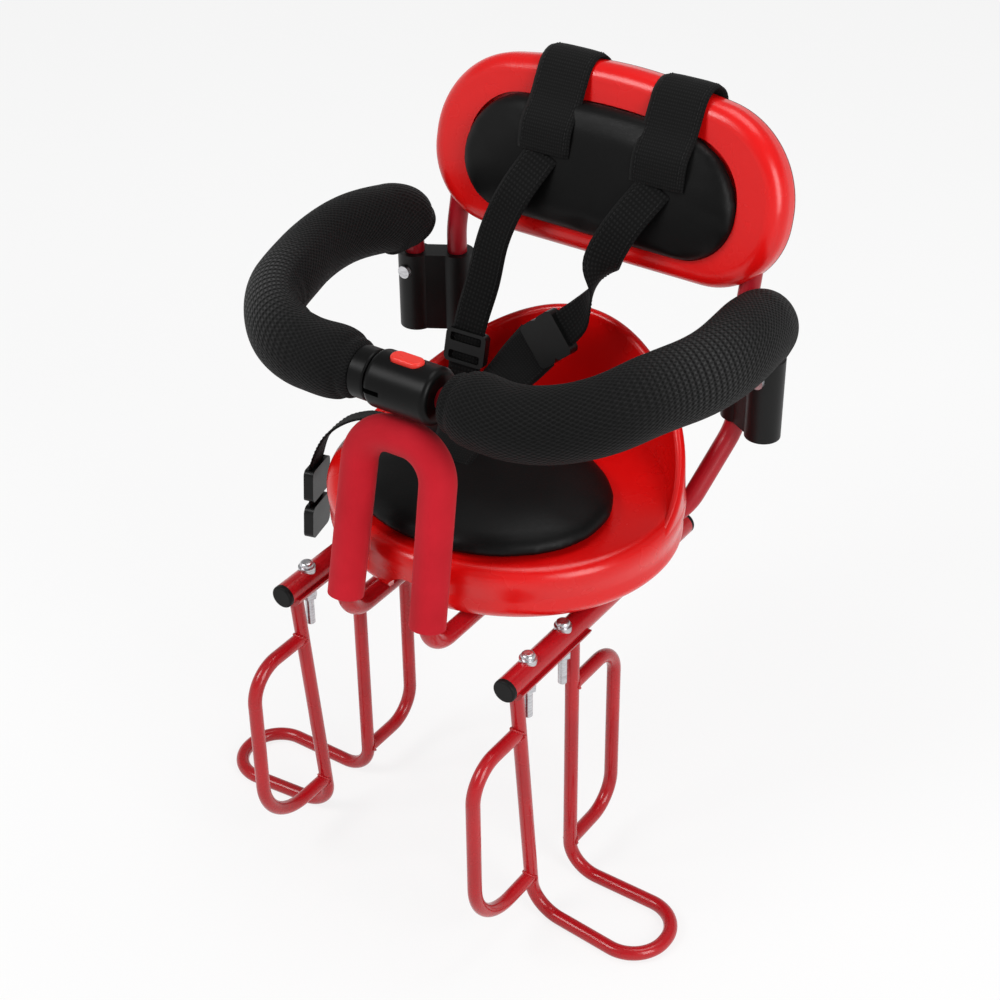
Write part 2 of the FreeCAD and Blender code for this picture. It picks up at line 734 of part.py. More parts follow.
# Lock on the right arm, tongue on the left arm
axis = V(1, 0, 0)
middle = V(0, arm_front_y, arm_z)
lock_len = lock_left_x + lock_right_x
blade_t = 2.0
slot_half = blade_t / 2 + 0.6
slot_depth = 13.0
lock = cylinder(middle - axis * lock_left_x, axis, lock_d / 2, lock_len)
lock_ends = (-lock_left_x, lock_right_x)
rims = []
for e in lock.Edges:
    if min(abs(e.CenterOfMass.x - x) for x in lock_ends) < 0.01:
        rims.append(e)
lock = lock.makeFillet(4.0, rims)
lock = lock.cut(cylinder(middle + axis * arm_inner["right"], axis, arm_d / 2 + play, 40))
oblong = rounded(
    [
        (-button_len / 2, -button_w / 2),
        (button_len / 2, -button_w / 2),
        (button_len / 2, button_w / 2),
        (-button_len / 2, button_w / 2),
    ],
    [button_w / 2 - 0.01] * 4,
)
well_floor = 4.5
button_low = 10.0
button_top = lock_d / 2 + 2.0
well = slab(oblong.makeOffset2D(gap), well_floor, 40)
well.translate(middle + V(button_x, 0, 0))
upper = Part.makeBox(lock_len, lock_d, lock_d)
upper.translate(middle + V(-lock_left_x, -lock_d / 2, slot_half))
lower = Part.makeBox(lock_len, lock_d, lock_d)
lower.translate(middle + V(-lock_left_x, -lock_d / 2, -slot_half - lock_d))
between = Part.makeBox(lock_len - slot_depth, lock_d, 2 * slot_half)
between.translate(middle + V(-lock_left_x + slot_depth, -lock_d / 2, -slot_half))
parts["lock_cover"] = lock.common(upper).cut(well)
parts["lock_base"] = lock.common(lower)
parts["lock_core"] = lock.common(between)
button = slab(oblong, button_low, button_top)
button = button.makeFillet(2.0, [e for e in button.Edges if abs(e.CenterOfMass.z - button_top) < 0.01])
button = button.cut(cylinder(V(0, 0, button_low - 1), V(0, 0, 1), 4.5, 8.0))
button.translate(middle + V(button_x, 0, 0))
parts["lock_button"] = button
coil_h = button_low + 7.0 - well_floor - 1.1
helix = Part.makeHelix(coil_h / 5.0, coil_h, 3.4)
wire_ring = Part.Wire([Part.Circle(V(3.4, 0, 0), V(0, 1, 0), 0.45).toShape()])
coil = Part.Wire(helix.Edges).makePipeShell([wire_ring], True, True)
coil.translate(middle + V(button_x, 0, well_floor + 0.5))
parts["button_spring"] = coil
collar_end = sleeve_left_x - lay
collar = cylinder(middle - axis * collar_end, axis, 16.5, collar_end - lock_left_x - gap)
collar = collar.makeFillet(2.0, [e for e in collar.Edges if abs(e.CenterOfMass.x + lock_left_x + gap) < 0.01])
collar = collar.cut(cylinder(middle - axis * 60, axis, arm_d / 2 + play, 60 - arm_inner["left"]))
blade_root = arm_inner["left"]
blade_reach = slot_depth - 3.0
blade_tip = lock_left_x - blade_reach
blade = Part.makeBox(blade_root - blade_tip, 12.0, blade_t)
blade.translate(middle + V(-blade_root, -6.0, -blade_t / 2))
catch = cylinder(middle + V(-blade_tip - 4.5, 0, -5), V(0, 0, 1), 2.2, 10)
parts["lock_tongue"] = blade.cut(catch)
parts["tongue_collar"] = collar.cut(blade)

# Harness: padded shoulder straps over the backrest, webbing below them
def back_point(x, y, z):
    return back_place.multVec(V(-x, y, z))


def back_way(y, z):
    return tilt_up * y + tilt_back * z


def strap(points, width, thick):
    """A strap through points, each with the direction out of its upper face."""
    stations = []
    for i in range(len(points)):
        spot, out = points[i]
        ahead = points[min(i + 1, len(points) - 1)][0] - points[max(i - 1, 0)][0]
        stations.append((spot, out.cross(ahead), out))
    return ribbon(stations, width, thick)


def on_run(start, end, out, share):
    """A placement on a straight strap run: x across, y along, z out of the face."""
    along = (end - start).normalize()
    across = along.cross(out).normalize()
    face = across.cross(along)
    spot = start + (end - start) * share
    return FreeCAD.Placement(
        FreeCAD.Matrix(
            across.x, along.x, face.x, spot.x, across.y, along.y, face.y, spot.y, across.z, along.z, face.z, spot.z
        )
    )


def block(width, tall, thick, soften):
    """A rounded plate centred on its own origin."""
    w = width / 2
    h = tall / 2
    outline = rounded([(-w, -h), (w, -h), (w, h), (-w, h)], [soften] * 4)
    return slab(outline, -thick / 2, thick / 2)


def set_at(shape, place):
    copy = shape.copy()
    copy.transformShape(place.toMatrix(), True)
    return copy


def glide():
    """A slide adjuster: a plastic frame round the webbing with a middle bar over it."""
    frame = block(strap_w + 6, 24.0, strap_t + 5.0, 4.0)
    tunnel = Part.makeBox(strap_w + 2 * gap, 60, strap_t + lay)
    tunnel.translate(V(-strap_w / 2 - gap, -30, -strap_t / 2 - lay / 2))
    window = block(strap_w - 1, 6.0, 40.0, 1.5)
    for y in (-6.5, 6.5):
        upper = window.copy()
        upper.translate(V(0, y, 20.0))
        frame = frame.cut(upper)
    return frame.cut(tunnel)


pad_ends = {}
for side, s in sides:
    x = s * strap_x + strap_shift
    crest = back_h + 10.0 * (1 - 2 * abs(x) / back_half_w) - 1.5
    front_z = -11.0 - lay
    over = [
        (back_point(x, crest - 56, back_t + lay), back_way(0, 1)),
        (back_point(x, crest - 13, back_t + lay), back_way(0, 1)),
        (back_point(x, crest - 2.5, back_t - 3), back_way(0.7, 0.7)),
        (back_point(x, crest + 2.5, back_t / 2 + 3), back_way(1, 0.15)),
        (back_point(x, crest + 2.5, back_t / 2 - 3), back_way(1, -0.15)),
        (back_point(x, crest - 2.5, 3), back_way(0.7, -0.7)),
        (back_point(x, crest - 13, -lay), back_way(0.1, -1)),
        (back_point(x, crest - 27, -4), back_way(0.5, -1)),
        (back_point(x, crest - 42, front_z - 1), back_way(0.3, -1)),
        (back_point(x, crest - 60, front_z), back_way(0, -1)),
    ]
    padded = strap(over, pad_w, pad_t).cut(placed(whole))
    parts[side + "_shoulder_pad"] = padded.cut(parts["backrest_cushion"])
    pad_ends[side] = back_point(x, crest - 60, front_z - 1)

seat_in = V(0, -1, 0.1)
deck_up = V(0, 0, 1)
left_run = [
    (pad_ends["left"], back_way(0, -1)),
    (V(-48, 166, 228), V(0, -1, 0.25)),
    (V(-59, 162, 200), V(0, -1, 0.1)),
    (V(-66, 157, 166), V(0.15, -1, 0.1)),
    (V(-71.5, 148.5, 133), V(0.1, -1, 0.1)),
    (V(-72, 142, 104), V(0.1, -1, 0.1)),
    (V(-71, 137, 84), V(0.1, -0.8, 0.6)),
    (V(-70, 131, deck_z + lay), deck_up),
    (V(-70, 119.5, deck_z + lay), deck_up),
]
right_run = [
    (pad_ends["right"], back_way(0, -1)),
    (V(36, 166, 228), V(0, -1, 0.25)),
    (V(24, 161, 205), V(-0.1, -1, 0.1)),
    (V(19, 159, 178), V(-0.3, -1, 0)),
    (V(9, 158, 158), V(-0.1, -1, 0)),
    (V(-3, 157, 146), V(0, -1, 0.1)),
]
pad_bed = deck_z + cushion_h + lay
slot_x = -22.0
slot_y = 45.5
crotch_run = [
    (V(-20, 157, 131), V(0, -1, 0.2)),
    (V(-33, 153, 113), V(0, -1, 0.5)),
    (V(-40, 143, 101), V(0, -0.6, 1)),
    (V(-43, 128, 95), V(0, -0.15, 1)),
    (V(-42, 108, pad_bed), V(0, 0, 1)),
    (V(-28, 72, pad_bed), V(0, 0, 1)),
    (V(-24, 58, pad_bed), V(0, -0.1, 1)),
    (V(-22.5, 49, pad_bed - 2.5), V(0, -0.7, 0.7)),
    (V(slot_x, slot_y, pad_bed - 9), V(0, -1, 0)),
    (V(slot_x, slot_y, deck_z), V(0, -1, 0)),
]
lap_run = [
    (V(-91, 110, deck_z + lay), deck_up),
    (V(-93.5, 97, deck_z + lay), deck_up),
    (V(-102, 80, deck_z + 11), V(-0.2, 0, 1)),
    (V(-113, 63, deck_z + 13), V(-0.6, 0, 1)),
    (V(-122, 52, deck_z + 5), V(-1, -0.3, 0.5)),
    (V(-127.5, 45, deck_z - 12), V(-1, -0.3, 0)),
    (V(-127.5, 41, deck_z - 56), V(-1, -0.3, 0)),
]
parts["left_shoulder_strap"] = strap(left_run, strap_w, strap_t).cut(parts["left_shoulder_pad"])
parts["right_shoulder_strap"] = strap(right_run, strap_w, strap_t).cut(parts["right_shoulder_pad"])
parts["crotch_strap"] = strap(crotch_run, pad_w - 4, pad_t)
parts["lap_strap"] = strap(lap_run, strap_w, strap_t)


def middle_of(run, i, thick, share):
    """Where an adjuster sits on the straight run between stations i and i + 1."""
    out = (run[i][1] + run[i + 1][1]).normalize()
    half = out * (thick / 2)
    return on_run(run[i][0] + half, run[i + 1][0] + half, out, share)


parts["left_strap_adjuster"] = set_at(glide(), middle_of(left_run, 4, strap_t, 0.5))
parts["lap_strap_adjuster"] = set_at(glide(), middle_of(lap_run, 5, strap_t, 0.35))

# Buckle between the right shoulder strap and the crotch strap, and a spare clip on the lap strap
buckle_from = right_run[-1][0] + right_run[-1][1] * (strap_t / 2)
buckle_to = crotch_run[0][0] + crotch_run[0][1] * (pad_t / 2)
buckle_len = (buckle_to - buckle_from).Length
half_block = block(strap_w + 8, buckle_len / 2 + 4.0, 9.0, 4.0)
half_block.translate(V(0, -buckle_len / 4 - 2.0, 0))
centre = on_run(buckle_from, buckle_to, V(0, -1, 0.15), 0.5)
clip = set_at(half_block, centre)
half_block.rotate(V(0, 0, 0), V(0, 0, 1), 180)
socket_half = set_at(half_block, centre)
parts["buckle_clip"] = clip
parts["buckle_socket"] = socket_half
parts["right_shoulder_strap"] = parts["right_shoulder_strap"].cut(clip)
parts["crotch_strap"] = parts["crotch_strap"].cut(socket_half)
tail = set_at(block(strap_w + 6, 24.0, 7.0, 5.0), middle_of(lap_run, 5, strap_t, 1.0))
parts["lap_clip"] = tail
parts["lap_strap"] = parts["lap_strap"].cut(tail)

# Screws that hold the straps to the deck, and the slot of the crotch strap in the cushion
strap_screws = []
for name, run in (("left_shoulder_strap", left_run), ("lap_strap", lap_run)):
    ends = (run[-1][0], run[-2][0]) if name == "left_shoulder_strap" else (run[0][0], run[1][0])
    spot = (ends[0] + ends[1]) * 0.5
    hole = cylinder(V(spot.x, spot.y, deck_z - 20), V(0, 0, 1), 2.0 + play, 40)
    parts[name] = parts[name].cut(hole)
    parts["seat_shell"] = parts["seat_shell"].cut(hole)
    head = cylinder(spot + V(0, 0, strap_t), V(0, 0, 1), 5.0, 2.0)
    shank = cylinder(V(spot.x, spot.y, deck_z - 9), V(0, 0, 1), 2.0, 9 + lay + strap_t)
    strap_screws.append(head.fuse(shank).removeSplitter())
parts["strap_screws"] = Part.makeCompound(strap_screws)
crotch_slot = Part.makeBox(pad_w - 2, pad_t + 8, 60)
crotch_slot.translate(V(slot_x - pad_w / 2 + 1, slot_y - pad_t - 1.5, deck_z - 1))
parts["seat_cushion"] = parts["seat_cushion"].cut(crotch_slot)
parts["crotch_strap"] = parts["crotch_strap"].cut(parts["seat_cushion"])
parts["lap_strap"] = parts["lap_strap"].cut(parts["seat_cushion"]).cut(rear_wall)

for name in parts:
    shape = parts[name]
    shape.exportStep("parts/" + name + ".step")
    box = shape.BoundBox
    low = (round(box.XMin, 1), round(box.YMin, 1), round(box.ZMin, 1))
    high = (round(box.XMax, 1), round(box.YMax, 1), round(box.ZMax, 1))
    print(name, shape.isValid(), len(shape.Solids), round(shape.Volume), low, high)
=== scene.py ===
# %% [markdown]
# A rear child bike seat, dressed over its CAD frame. The solids give every size and place; this file
# adds what solids can't show: paint, moulded plastic, foam under mesh cloth, webbing, stitches and welds.
# Lengths in the code are in millimetres and become metres when a mesh is made.

import bpy
import json
import math
import numpy as np
from mathutils import Matrix, Vector
from mathutils.geometry import convex_hull_2d


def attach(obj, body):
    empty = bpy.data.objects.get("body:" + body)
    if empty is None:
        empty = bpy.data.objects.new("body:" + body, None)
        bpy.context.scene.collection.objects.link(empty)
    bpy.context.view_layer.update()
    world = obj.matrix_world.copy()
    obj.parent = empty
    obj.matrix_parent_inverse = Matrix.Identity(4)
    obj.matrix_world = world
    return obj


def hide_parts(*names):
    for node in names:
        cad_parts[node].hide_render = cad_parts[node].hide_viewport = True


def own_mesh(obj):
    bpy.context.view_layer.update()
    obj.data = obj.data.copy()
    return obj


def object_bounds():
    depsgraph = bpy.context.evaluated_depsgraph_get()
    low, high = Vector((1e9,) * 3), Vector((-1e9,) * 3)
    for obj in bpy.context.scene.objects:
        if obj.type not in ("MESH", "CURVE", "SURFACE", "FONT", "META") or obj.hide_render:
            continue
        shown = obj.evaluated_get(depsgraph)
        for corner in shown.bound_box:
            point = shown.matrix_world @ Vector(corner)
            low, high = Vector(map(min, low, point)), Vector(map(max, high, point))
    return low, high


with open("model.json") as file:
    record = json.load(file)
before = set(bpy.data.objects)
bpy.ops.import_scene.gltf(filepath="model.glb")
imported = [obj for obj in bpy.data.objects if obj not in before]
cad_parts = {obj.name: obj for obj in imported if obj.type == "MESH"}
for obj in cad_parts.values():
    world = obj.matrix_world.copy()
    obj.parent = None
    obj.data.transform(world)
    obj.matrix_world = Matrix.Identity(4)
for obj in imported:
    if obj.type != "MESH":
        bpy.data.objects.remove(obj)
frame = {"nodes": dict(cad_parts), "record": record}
cad_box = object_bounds()
nodes = frame["nodes"]
print("CAD nodes", len(nodes))

# %% [markdown]
# Small helpers for shapes. Most of the soft pieces here have a section that changes along a line, so they
# are lofts: rings of points joined by faces. A curve with a bevel would be quicker, but it can't change its
# section freely or lean it over. The loft writes its own UV map in metres, so that a weave or a mesh cloth
# keeps its real size and follows every bend.


# %% Helpers for shapes
def unit(v):
    v = np.asarray(v, float)
    return v / np.linalg.norm(v)


def add_mesh(name, points_mm, faces, uvs_mm=None):
    """A smooth mesh object; uvs_mm holds one pair for each corner of each face."""
    mesh = bpy.data.meshes.new(name)
    mesh.from_pydata([tuple(p) for p in np.asarray(points_mm) * 0.001], [], faces)
    if uvs_mm is not None:
        layer = mesh.uv_layers.new(name="UVMap")
        layer.data.foreach_set("uv", np.asarray(uvs_mm, float).ravel() * 0.001)
    mesh.polygons.foreach_set("use_smooth", [True] * len(mesh.polygons))
    mesh.update()
    obj = bpy.data.objects.new(name, mesh)
    bpy.context.collection.objects.link(obj)
    return obj


def loft(name, rings, caps=True):
    """A closed skin over rings of equal point counts."""
    rings = np.asarray(rings, float)
    n, m = rings.shape[:2]
    along = np.zeros((n, m))
    along[1:] = np.cumsum(np.linalg.norm(np.diff(rings, axis=0), axis=2), axis=0)
    along = along.mean(axis=1)
    wrap = np.concatenate([rings, rings[:, :1]], axis=1)
    steps = np.linalg.norm(np.diff(wrap, axis=1), axis=2)
    girth = steps.sum(axis=1)
    widest = girth.max()
    around = np.zeros((n, m + 1))
    around[:, 1:] = np.cumsum(steps, axis=1) / girth[:, None] * widest
    faces = []
    uvs = []
    for i in range(n - 1):
        for j in range(m):
            k = (j + 1) % m
            faces.append((i * m + j, i * m + k, (i + 1) * m + k, (i + 1) * m + j))
            uvs += [(along[i], around[i, j]), (along[i], around[i, j + 1])]
            uvs += [(along[i + 1], around[i + 1, j + 1]), (along[i + 1], around[i + 1, j])]
    if caps:
        faces.append(tuple(reversed(range(m))))
        uvs += [(0, around[0, j]) for j in reversed(range(m))]
        faces.append(tuple((n - 1) * m + j for j in range(m)))
        uvs += [(along[-1], around[-1, j]) for j in range(m)]
    return add_mesh(name, rings.reshape(-1, 3), faces, uvs)


def ease(x, xs, ys):
    """A smooth curve through stations (xs, ys)."""
    xs = np.asarray(xs, float)
    ys = np.asarray(ys, float)
    slope = np.gradient(ys, xs, axis=0)
    i = np.clip(np.searchsorted(xs, x) - 1, 0, len(xs) - 2)
    h = xs[i + 1] - xs[i]
    t = np.clip((np.asarray(x) - xs[i]) / h, 0, 1)
    if ys.ndim > 1:
        h = h[:, None]
        t = t[:, None]
    a = ys[i] * (1 + 2 * t) * (1 - t) ** 2 + ys[i + 1] * t * t * (3 - 2 * t)
    return a + h * (slope[i] * t * (1 - t) ** 2 + slope[i + 1] * t * t * (t - 1))


def finish_piece(obj, body, slot, material, *replaced):
    """Gives a piece its material, its body and the solids that it stands for."""
    obj.data.materials.clear()
    obj.data.materials.append(material)
    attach(obj, body)
    if replaced:
        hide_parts(*replaced)
    print(obj.name, len(obj.data.polygons), "faces")
    return obj


print("shape helpers ready")

# %% [markdown]
# Materials are built from nodes, because a pattern made of nodes has no edge and no resolution. Each starts
# as one principled shader; then noise varies its colour and its gloss, and a height pattern gives it grain.
# Object coordinates are metres, so a scale of 800 is a pattern of a little over a millimetre.


# %% Helpers for materials
def grey(value):
    return (value, value, value)


def material(name, colour, rough, **sockets):
    mat = bpy.data.materials.new(name)
    mat.use_nodes = True
    shader = mat.node_tree.nodes["Principled BSDF"]
    shader.inputs["Base Color"].default_value = (*colour, 1)
    shader.inputs["Roughness"].default_value = rough
    for key, value in sockets.items():
        shader.inputs[key.replace("_", " ")].default_value = value
    return mat


def add(mat, kind, **values):
    node = mat.node_tree.nodes.new(kind)
    for key, value in values.items():
        setattr(node, key, value)
    return node


def join(mat, source, target):
    mat.node_tree.links.new(source, target)


def place(mat, kind="Object", scale=(1, 1, 1), turn=0.0):
    where = add(mat, "ShaderNodeTexCoord")
    mapping = add(mat, "ShaderNodeMapping")
    mapping.inputs["Scale"].default_value = scale
    mapping.inputs["Rotation"].default_value = (0, 0, turn)
    join(mat, where.outputs[kind], mapping.inputs["Vector"])
    return mapping.outputs["Vector"]


def noise(mat, vector, scale, detail=3.0):
    node = add(mat, "ShaderNodeTexNoise")
    node.inputs["Scale"].default_value = scale
    node.inputs["Detail"].default_value = detail
    join(mat, vector, node.inputs["Vector"])
    return node.outputs["Fac"]


def cells(mat, vector, scale, randomness=1.0):
    node = add(mat, "ShaderNodeTexVoronoi")
    node.inputs["Scale"].default_value = scale
    node.inputs["Randomness"].default_value = randomness
    join(mat, vector, node.inputs["Vector"])
    return node.outputs["Distance"]


def math_node(mat, operation, a, b=0.0):
    node = add(mat, "ShaderNodeMath", operation=operation)
    for socket, value in zip(node.inputs, (a, b)):
        if isinstance(value, (int, float)):
            socket.default_value = value
        else:
            join(mat, value, socket)
    return node.outputs[0]


def ramp(mat, factor, stops):
    """stops are pairs of place and colour, or place and one number."""
    node = add(mat, "ShaderNodeValToRGB")
    points = node.color_ramp.elements
    while len(points) < len(stops):
        points.new(0.5)
    for point, (where, value) in zip(points, stops):
        point.position = where
        colour = value if hasattr(value, "__len__") else grey(value)
        point.color = (*colour, 1)
    join(mat, factor, node.inputs["Fac"])
    return node.outputs["Color"]


def shade(mat, socket, source):
    join(mat, source, mat.node_tree.nodes["Principled BSDF"].inputs[socket])


def grain(mat, height, strength, depth_mm):
    node = add(mat, "ShaderNodeBump")
    node.inputs["Strength"].default_value = strength
    node.inputs["Distance"].default_value = depth_mm * 0.001
    join(mat, height, node.inputs["Height"])
    shade(mat, "Normal", node.outputs["Normal"])


print("material helpers ready")

# %% [markdown]
# Paint on the rack is a deep crimson lacquer over steel tube. It has a faint orange peel and darkens a
# little where it pooled. The uprights have the same colour with less gloss; the arm tubes have less gloss
# and are the same paint darkened, a painted shade for the shadow they sit in.


# %% Painted steel
def lacquer(name, dark, light, rough, coat):
    mat = material(name, light, rough, Specular_IOR_Level=0.3, Coat_Weight=coat, Coat_Roughness=0.06)
    spot = place(mat)
    shade(mat, "Base Color", ramp(mat, noise(mat, spot, 22, 4), [(0.3, dark), (0.7, light)]))
    shade(mat, "Roughness", ramp(mat, noise(mat, spot, 90), [(0.3, rough - 0.04), (0.75, rough + 0.05)]))
    grain(mat, noise(mat, spot, 900, 2), 0.05, 0.06)
    return mat


frame_paint = lacquer("crimson_lacquer", (0.37, 0.005, 0.009), (0.46, 0.007, 0.012), 0.26, 0.25)
upright_paint = lacquer("crimson_satin", (0.32, 0.005, 0.012), (0.40, 0.008, 0.017), 0.36, 0.05)
# The arm paint is the frame's crimson darkened: painted shade for the shadow the arm tubes sit in.
arm_paint = lacquer("crimson_arm_painted_shade", (0.22, 0.003, 0.008), (0.30, 0.005, 0.011), 0.34, 0.05)
print("paints made")

# %% [markdown]
# The shells are moulded in bright red gloss plastic. The colour is in the plastic, so it barely varies;
# what shows is a fine mould texture and slow waves in the gloss. The black plastics are duller.


# %% Moulded plastics
def moulded(name, dark, light, rough, grain_scale, strength, level):
    mat = material(name, light, rough, Specular_IOR_Level=level)
    spot = place(mat)
    shade(mat, "Base Color", ramp(mat, noise(mat, spot, 14, 2), [(0.3, dark), (0.7, light)]))
    shade(mat, "Roughness", ramp(mat, noise(mat, spot, 40), [(0.3, rough - 0.03), (0.75, rough + 0.04)]))
    grain(mat, noise(mat, spot, grain_scale, 2), strength, 0.05)
    return mat


red_plastic = moulded("red_moulding", (0.67, 0.003, 0.003), (0.71, 0.004, 0.004), 0.26, 700, 0.015, 0.42)
bracket_plastic = moulded("bracket_plastic", grey(0.003), grey(0.006), 0.42, 1600, 0.5, 0.22)
lock_plastic = moulded("lock_plastic", grey(0.002), grey(0.004), 0.36, 1400, 0.2, 0.13)
button_plastic = moulded("button_plastic", (0.70, 0.030, 0.020), (0.80, 0.042, 0.030), 0.30, 1400, 0.1, 0.3)
buckle_plastic = moulded("buckle_plastic", grey(0.003), grey(0.006), 0.34, 1600, 0.4, 0.22)
plug_plastic = moulded("plug_plastic", grey(0.003), grey(0.006), 0.5, 1600, 0.5, 0.16)
print("plastics made")

# %% [markdown]
# Zinc-plated screws are a metal with fine turning marks. The foam grip is closed-cell foam: tiny cells,
# no gloss, and a soft rim where light grazes it.

# %% Zinc and foam
ZINC_DULL, ZINC_BRIGHT = (0.46, 0.46, 0.48), (0.70, 0.70, 0.72)
zinc = material("zinc", (0.62, 0.62, 0.64), 0.34, Metallic=1.0)
spot = place(zinc, scale=(1, 1, 6))
shade(zinc, "Base Color", ramp(zinc, noise(zinc, spot, 180), [(0.3, ZINC_DULL), (0.7, ZINC_BRIGHT)]))
shade(zinc, "Roughness", ramp(zinc, noise(zinc, spot, 420), [(0.3, 0.24), (0.75, 0.46)]))
grain(zinc, noise(zinc, spot, 900), 0.12, 0.1)

FOAM_DEEP, FOAM_PALE = (0.45, 0.008, 0.017), (0.54, 0.011, 0.023)
foam = material("grip_foam", (0.50, 0.009, 0.020), 0.75, Specular_IOR_Level=0.12, Sheen_Weight=0.06)
spot = place(foam)
shade(foam, "Base Color", ramp(foam, noise(foam, spot, 30), [(0.3, FOAM_DEEP), (0.7, FOAM_PALE)]))
grain(foam, cells(foam, spot, 1100), 0.25, 0.15)
print("zinc and foam made")

# %% [markdown]
# Three cloths. The cushions have a black vinyl cover with a leather grain. The arm sleeves are spacer
# mesh: rows of open cells that lie in the UV map, so they fan out round a bend as knitted mesh does. An
# attribute of the sleeve marks the upper outer side of the bend, and there pale cross ribs are painted in as
# a highlight.
# The straps are woven webbing with cross ribs, and the pads a plain close weave.

# %% Cover cloths
vinyl = material("cushion_vinyl", grey(0.003), 0.40, Specular_IOR_Level=0.13)
spot = place(vinyl)
shade(vinyl, "Base Color", ramp(vinyl, noise(vinyl, spot, 18), [(0.3, grey(0.002)), (0.7, grey(0.004))]))
pores = cells(vinyl, spot, 620)
shade(vinyl, "Roughness", ramp(vinyl, pores, [(0.0, 0.36), (0.6, 0.46)]))
grain(vinyl, pores, 0.2, 0.12)


def mesh_cloth(name, hole, thread, pale, long_mm, wide_mm):
    """Two square grids of cells make the net of a spacer mesh; where an attribute is high, pale ribs are
    painted in as a highlight.
    """
    mat = material(name, thread, 0.7, Specular_IOR_Level=0.10, Sheen_Weight=0.02)
    scale = (1000 / long_mm, 1000 / wide_mm, 1)
    first = place(mat, "UV", scale)
    second = add(mat, "ShaderNodeVectorMath", operation="ADD")
    second.inputs[1].default_value = (0.5, 0.5, 0)
    join(mat, first, second.inputs[0])
    net = math_node(mat, "MINIMUM", cells(mat, first, 1, 0), cells(mat, second.outputs[0], 1, 0))
    ribs = add(mat, "ShaderNodeTexWave", bands_direction="X")
    ribs.inputs["Scale"].default_value = math.pi / 10
    ribs.inputs["Distortion"].default_value = 0.3
    join(mat, first, ribs.inputs["Vector"])
    highlight_share = add(mat, "ShaderNodeAttribute", attribute_name="painted_highlight")
    highlight_mix = math_node(mat, "MULTIPLY", ribs.outputs["Fac"], highlight_share.outputs["Fac"])
    highlight_mix = math_node(mat, "MULTIPLY", highlight_mix, ramp(mat, net, [(0.15, 0.3), (0.35, 1.0)]))
    # Painted highlight: the net's threads are tinted pale on the ribs, as far as the attribute says.
    tint = add(mat, "ShaderNodeMixRGB")
    tint.inputs["Color2"].default_value = (*pale, 1)
    join(mat, highlight_mix, tint.inputs["Fac"])
    join(mat, ramp(mat, net, [(0.20, hole), (0.40, thread)]), tint.inputs["Color1"])
    shade(mat, "Base Color", tint.outputs["Color"])
    grain(mat, ramp(mat, net, [(0.12, 0.0), (0.45, 1.0)]), 0.8, 0.7)
    return mat


# The pale yarn colour is the painted highlight on the sleeves.
BLACK, YARN, HIGHLIGHT_YARN = grey(0.002), grey(0.008), grey(0.085)
sleeve_cloth = mesh_cloth("sleeve_mesh", BLACK, YARN, HIGHLIGHT_YARN, 4.4, 3.2)


def woven(name, dark, light, pitch_mm, strength):
    mat = material(name, light, 0.78, Specular_IOR_Level=0.12, Sheen_Weight=0.03)
    ribs = add(mat, "ShaderNodeTexWave", bands_direction="X")
    ribs.inputs["Scale"].default_value = 1000 / pitch_mm / 20 * math.pi
    ribs.inputs["Distortion"].default_value = 0.6
    join(mat, place(mat, "UV"), ribs.inputs["Vector"])
    ends = add(mat, "ShaderNodeTexWave", bands_direction="Y")
    ends.inputs["Scale"].default_value = 1000 / (pitch_mm * 0.8) / 20 * math.pi
    join(mat, place(mat, "UV"), ends.inputs["Vector"])
    weave = math_node(mat, "MULTIPLY", ribs.outputs["Fac"], ends.outputs["Fac"])
    shade(mat, "Base Color", ramp(mat, weave, [(0.1, dark), (0.8, light)]))
    grain(mat, weave, strength, 0.3)
    return mat


webbing = woven("webbing", grey(0.002), grey(0.009), 1.6, 0.6)
pad_cloth = woven("pad_cloth", grey(0.003), grey(0.010), 1.1, 0.4)
thread = material("thread", grey(0.014), 0.6, Specular_IOR_Level=0.15)
twist = noise(thread, place(thread), 900)
shade(thread, "Base Color", ramp(thread, twist, [(0.3, grey(0.008)), (0.7, grey(0.018))]))
print("cloths made")

# %% [markdown]
# Every solid that stays gets the material of its record slot. Soft solids get theirs too, although a
# modelled piece takes their place below.

# %% Materials on the solids
by_slot = {
    "frame_paint": frame_paint,
    "upright_paint": upright_paint,
    "zinc": zinc,
    "black_plug": plug_plastic,
    "foam_grip": foam,
    "red_moulding": red_plastic,
    "cushion_cover": vinyl,
    "bracket_plastic": bracket_plastic,
    "arm_paint": arm_paint,
    "sleeve_mesh": sleeve_cloth,
    "lock_plastic": lock_plastic,
    "button_plastic": button_plastic,
    "webbing": webbing,
    "pad_cloth": pad_cloth,
    "buckle_plastic": buckle_plastic,
}
for entry in frame["record"]["subparts"]:
    solid = nodes[entry["node"]]
    solid.data.materials.clear()
    solid.data.materials.append(by_slot[entry["material_slot"]])
print("solids dressed", len(nodes))

# %% [markdown]
# The arm sleeves are foam tubes in a knitted cover. Each follows its arm tube: along the front, round the
# corner, back along the bowed side and over to the hinge. The section leans and grows along the side, and
# the cover gathers in small folds inside the corner, with one deep crease where the foam is pinched. A cloth
# simulation would fold it by chance; here the folds are added to the loft's rings, so they stay in place.

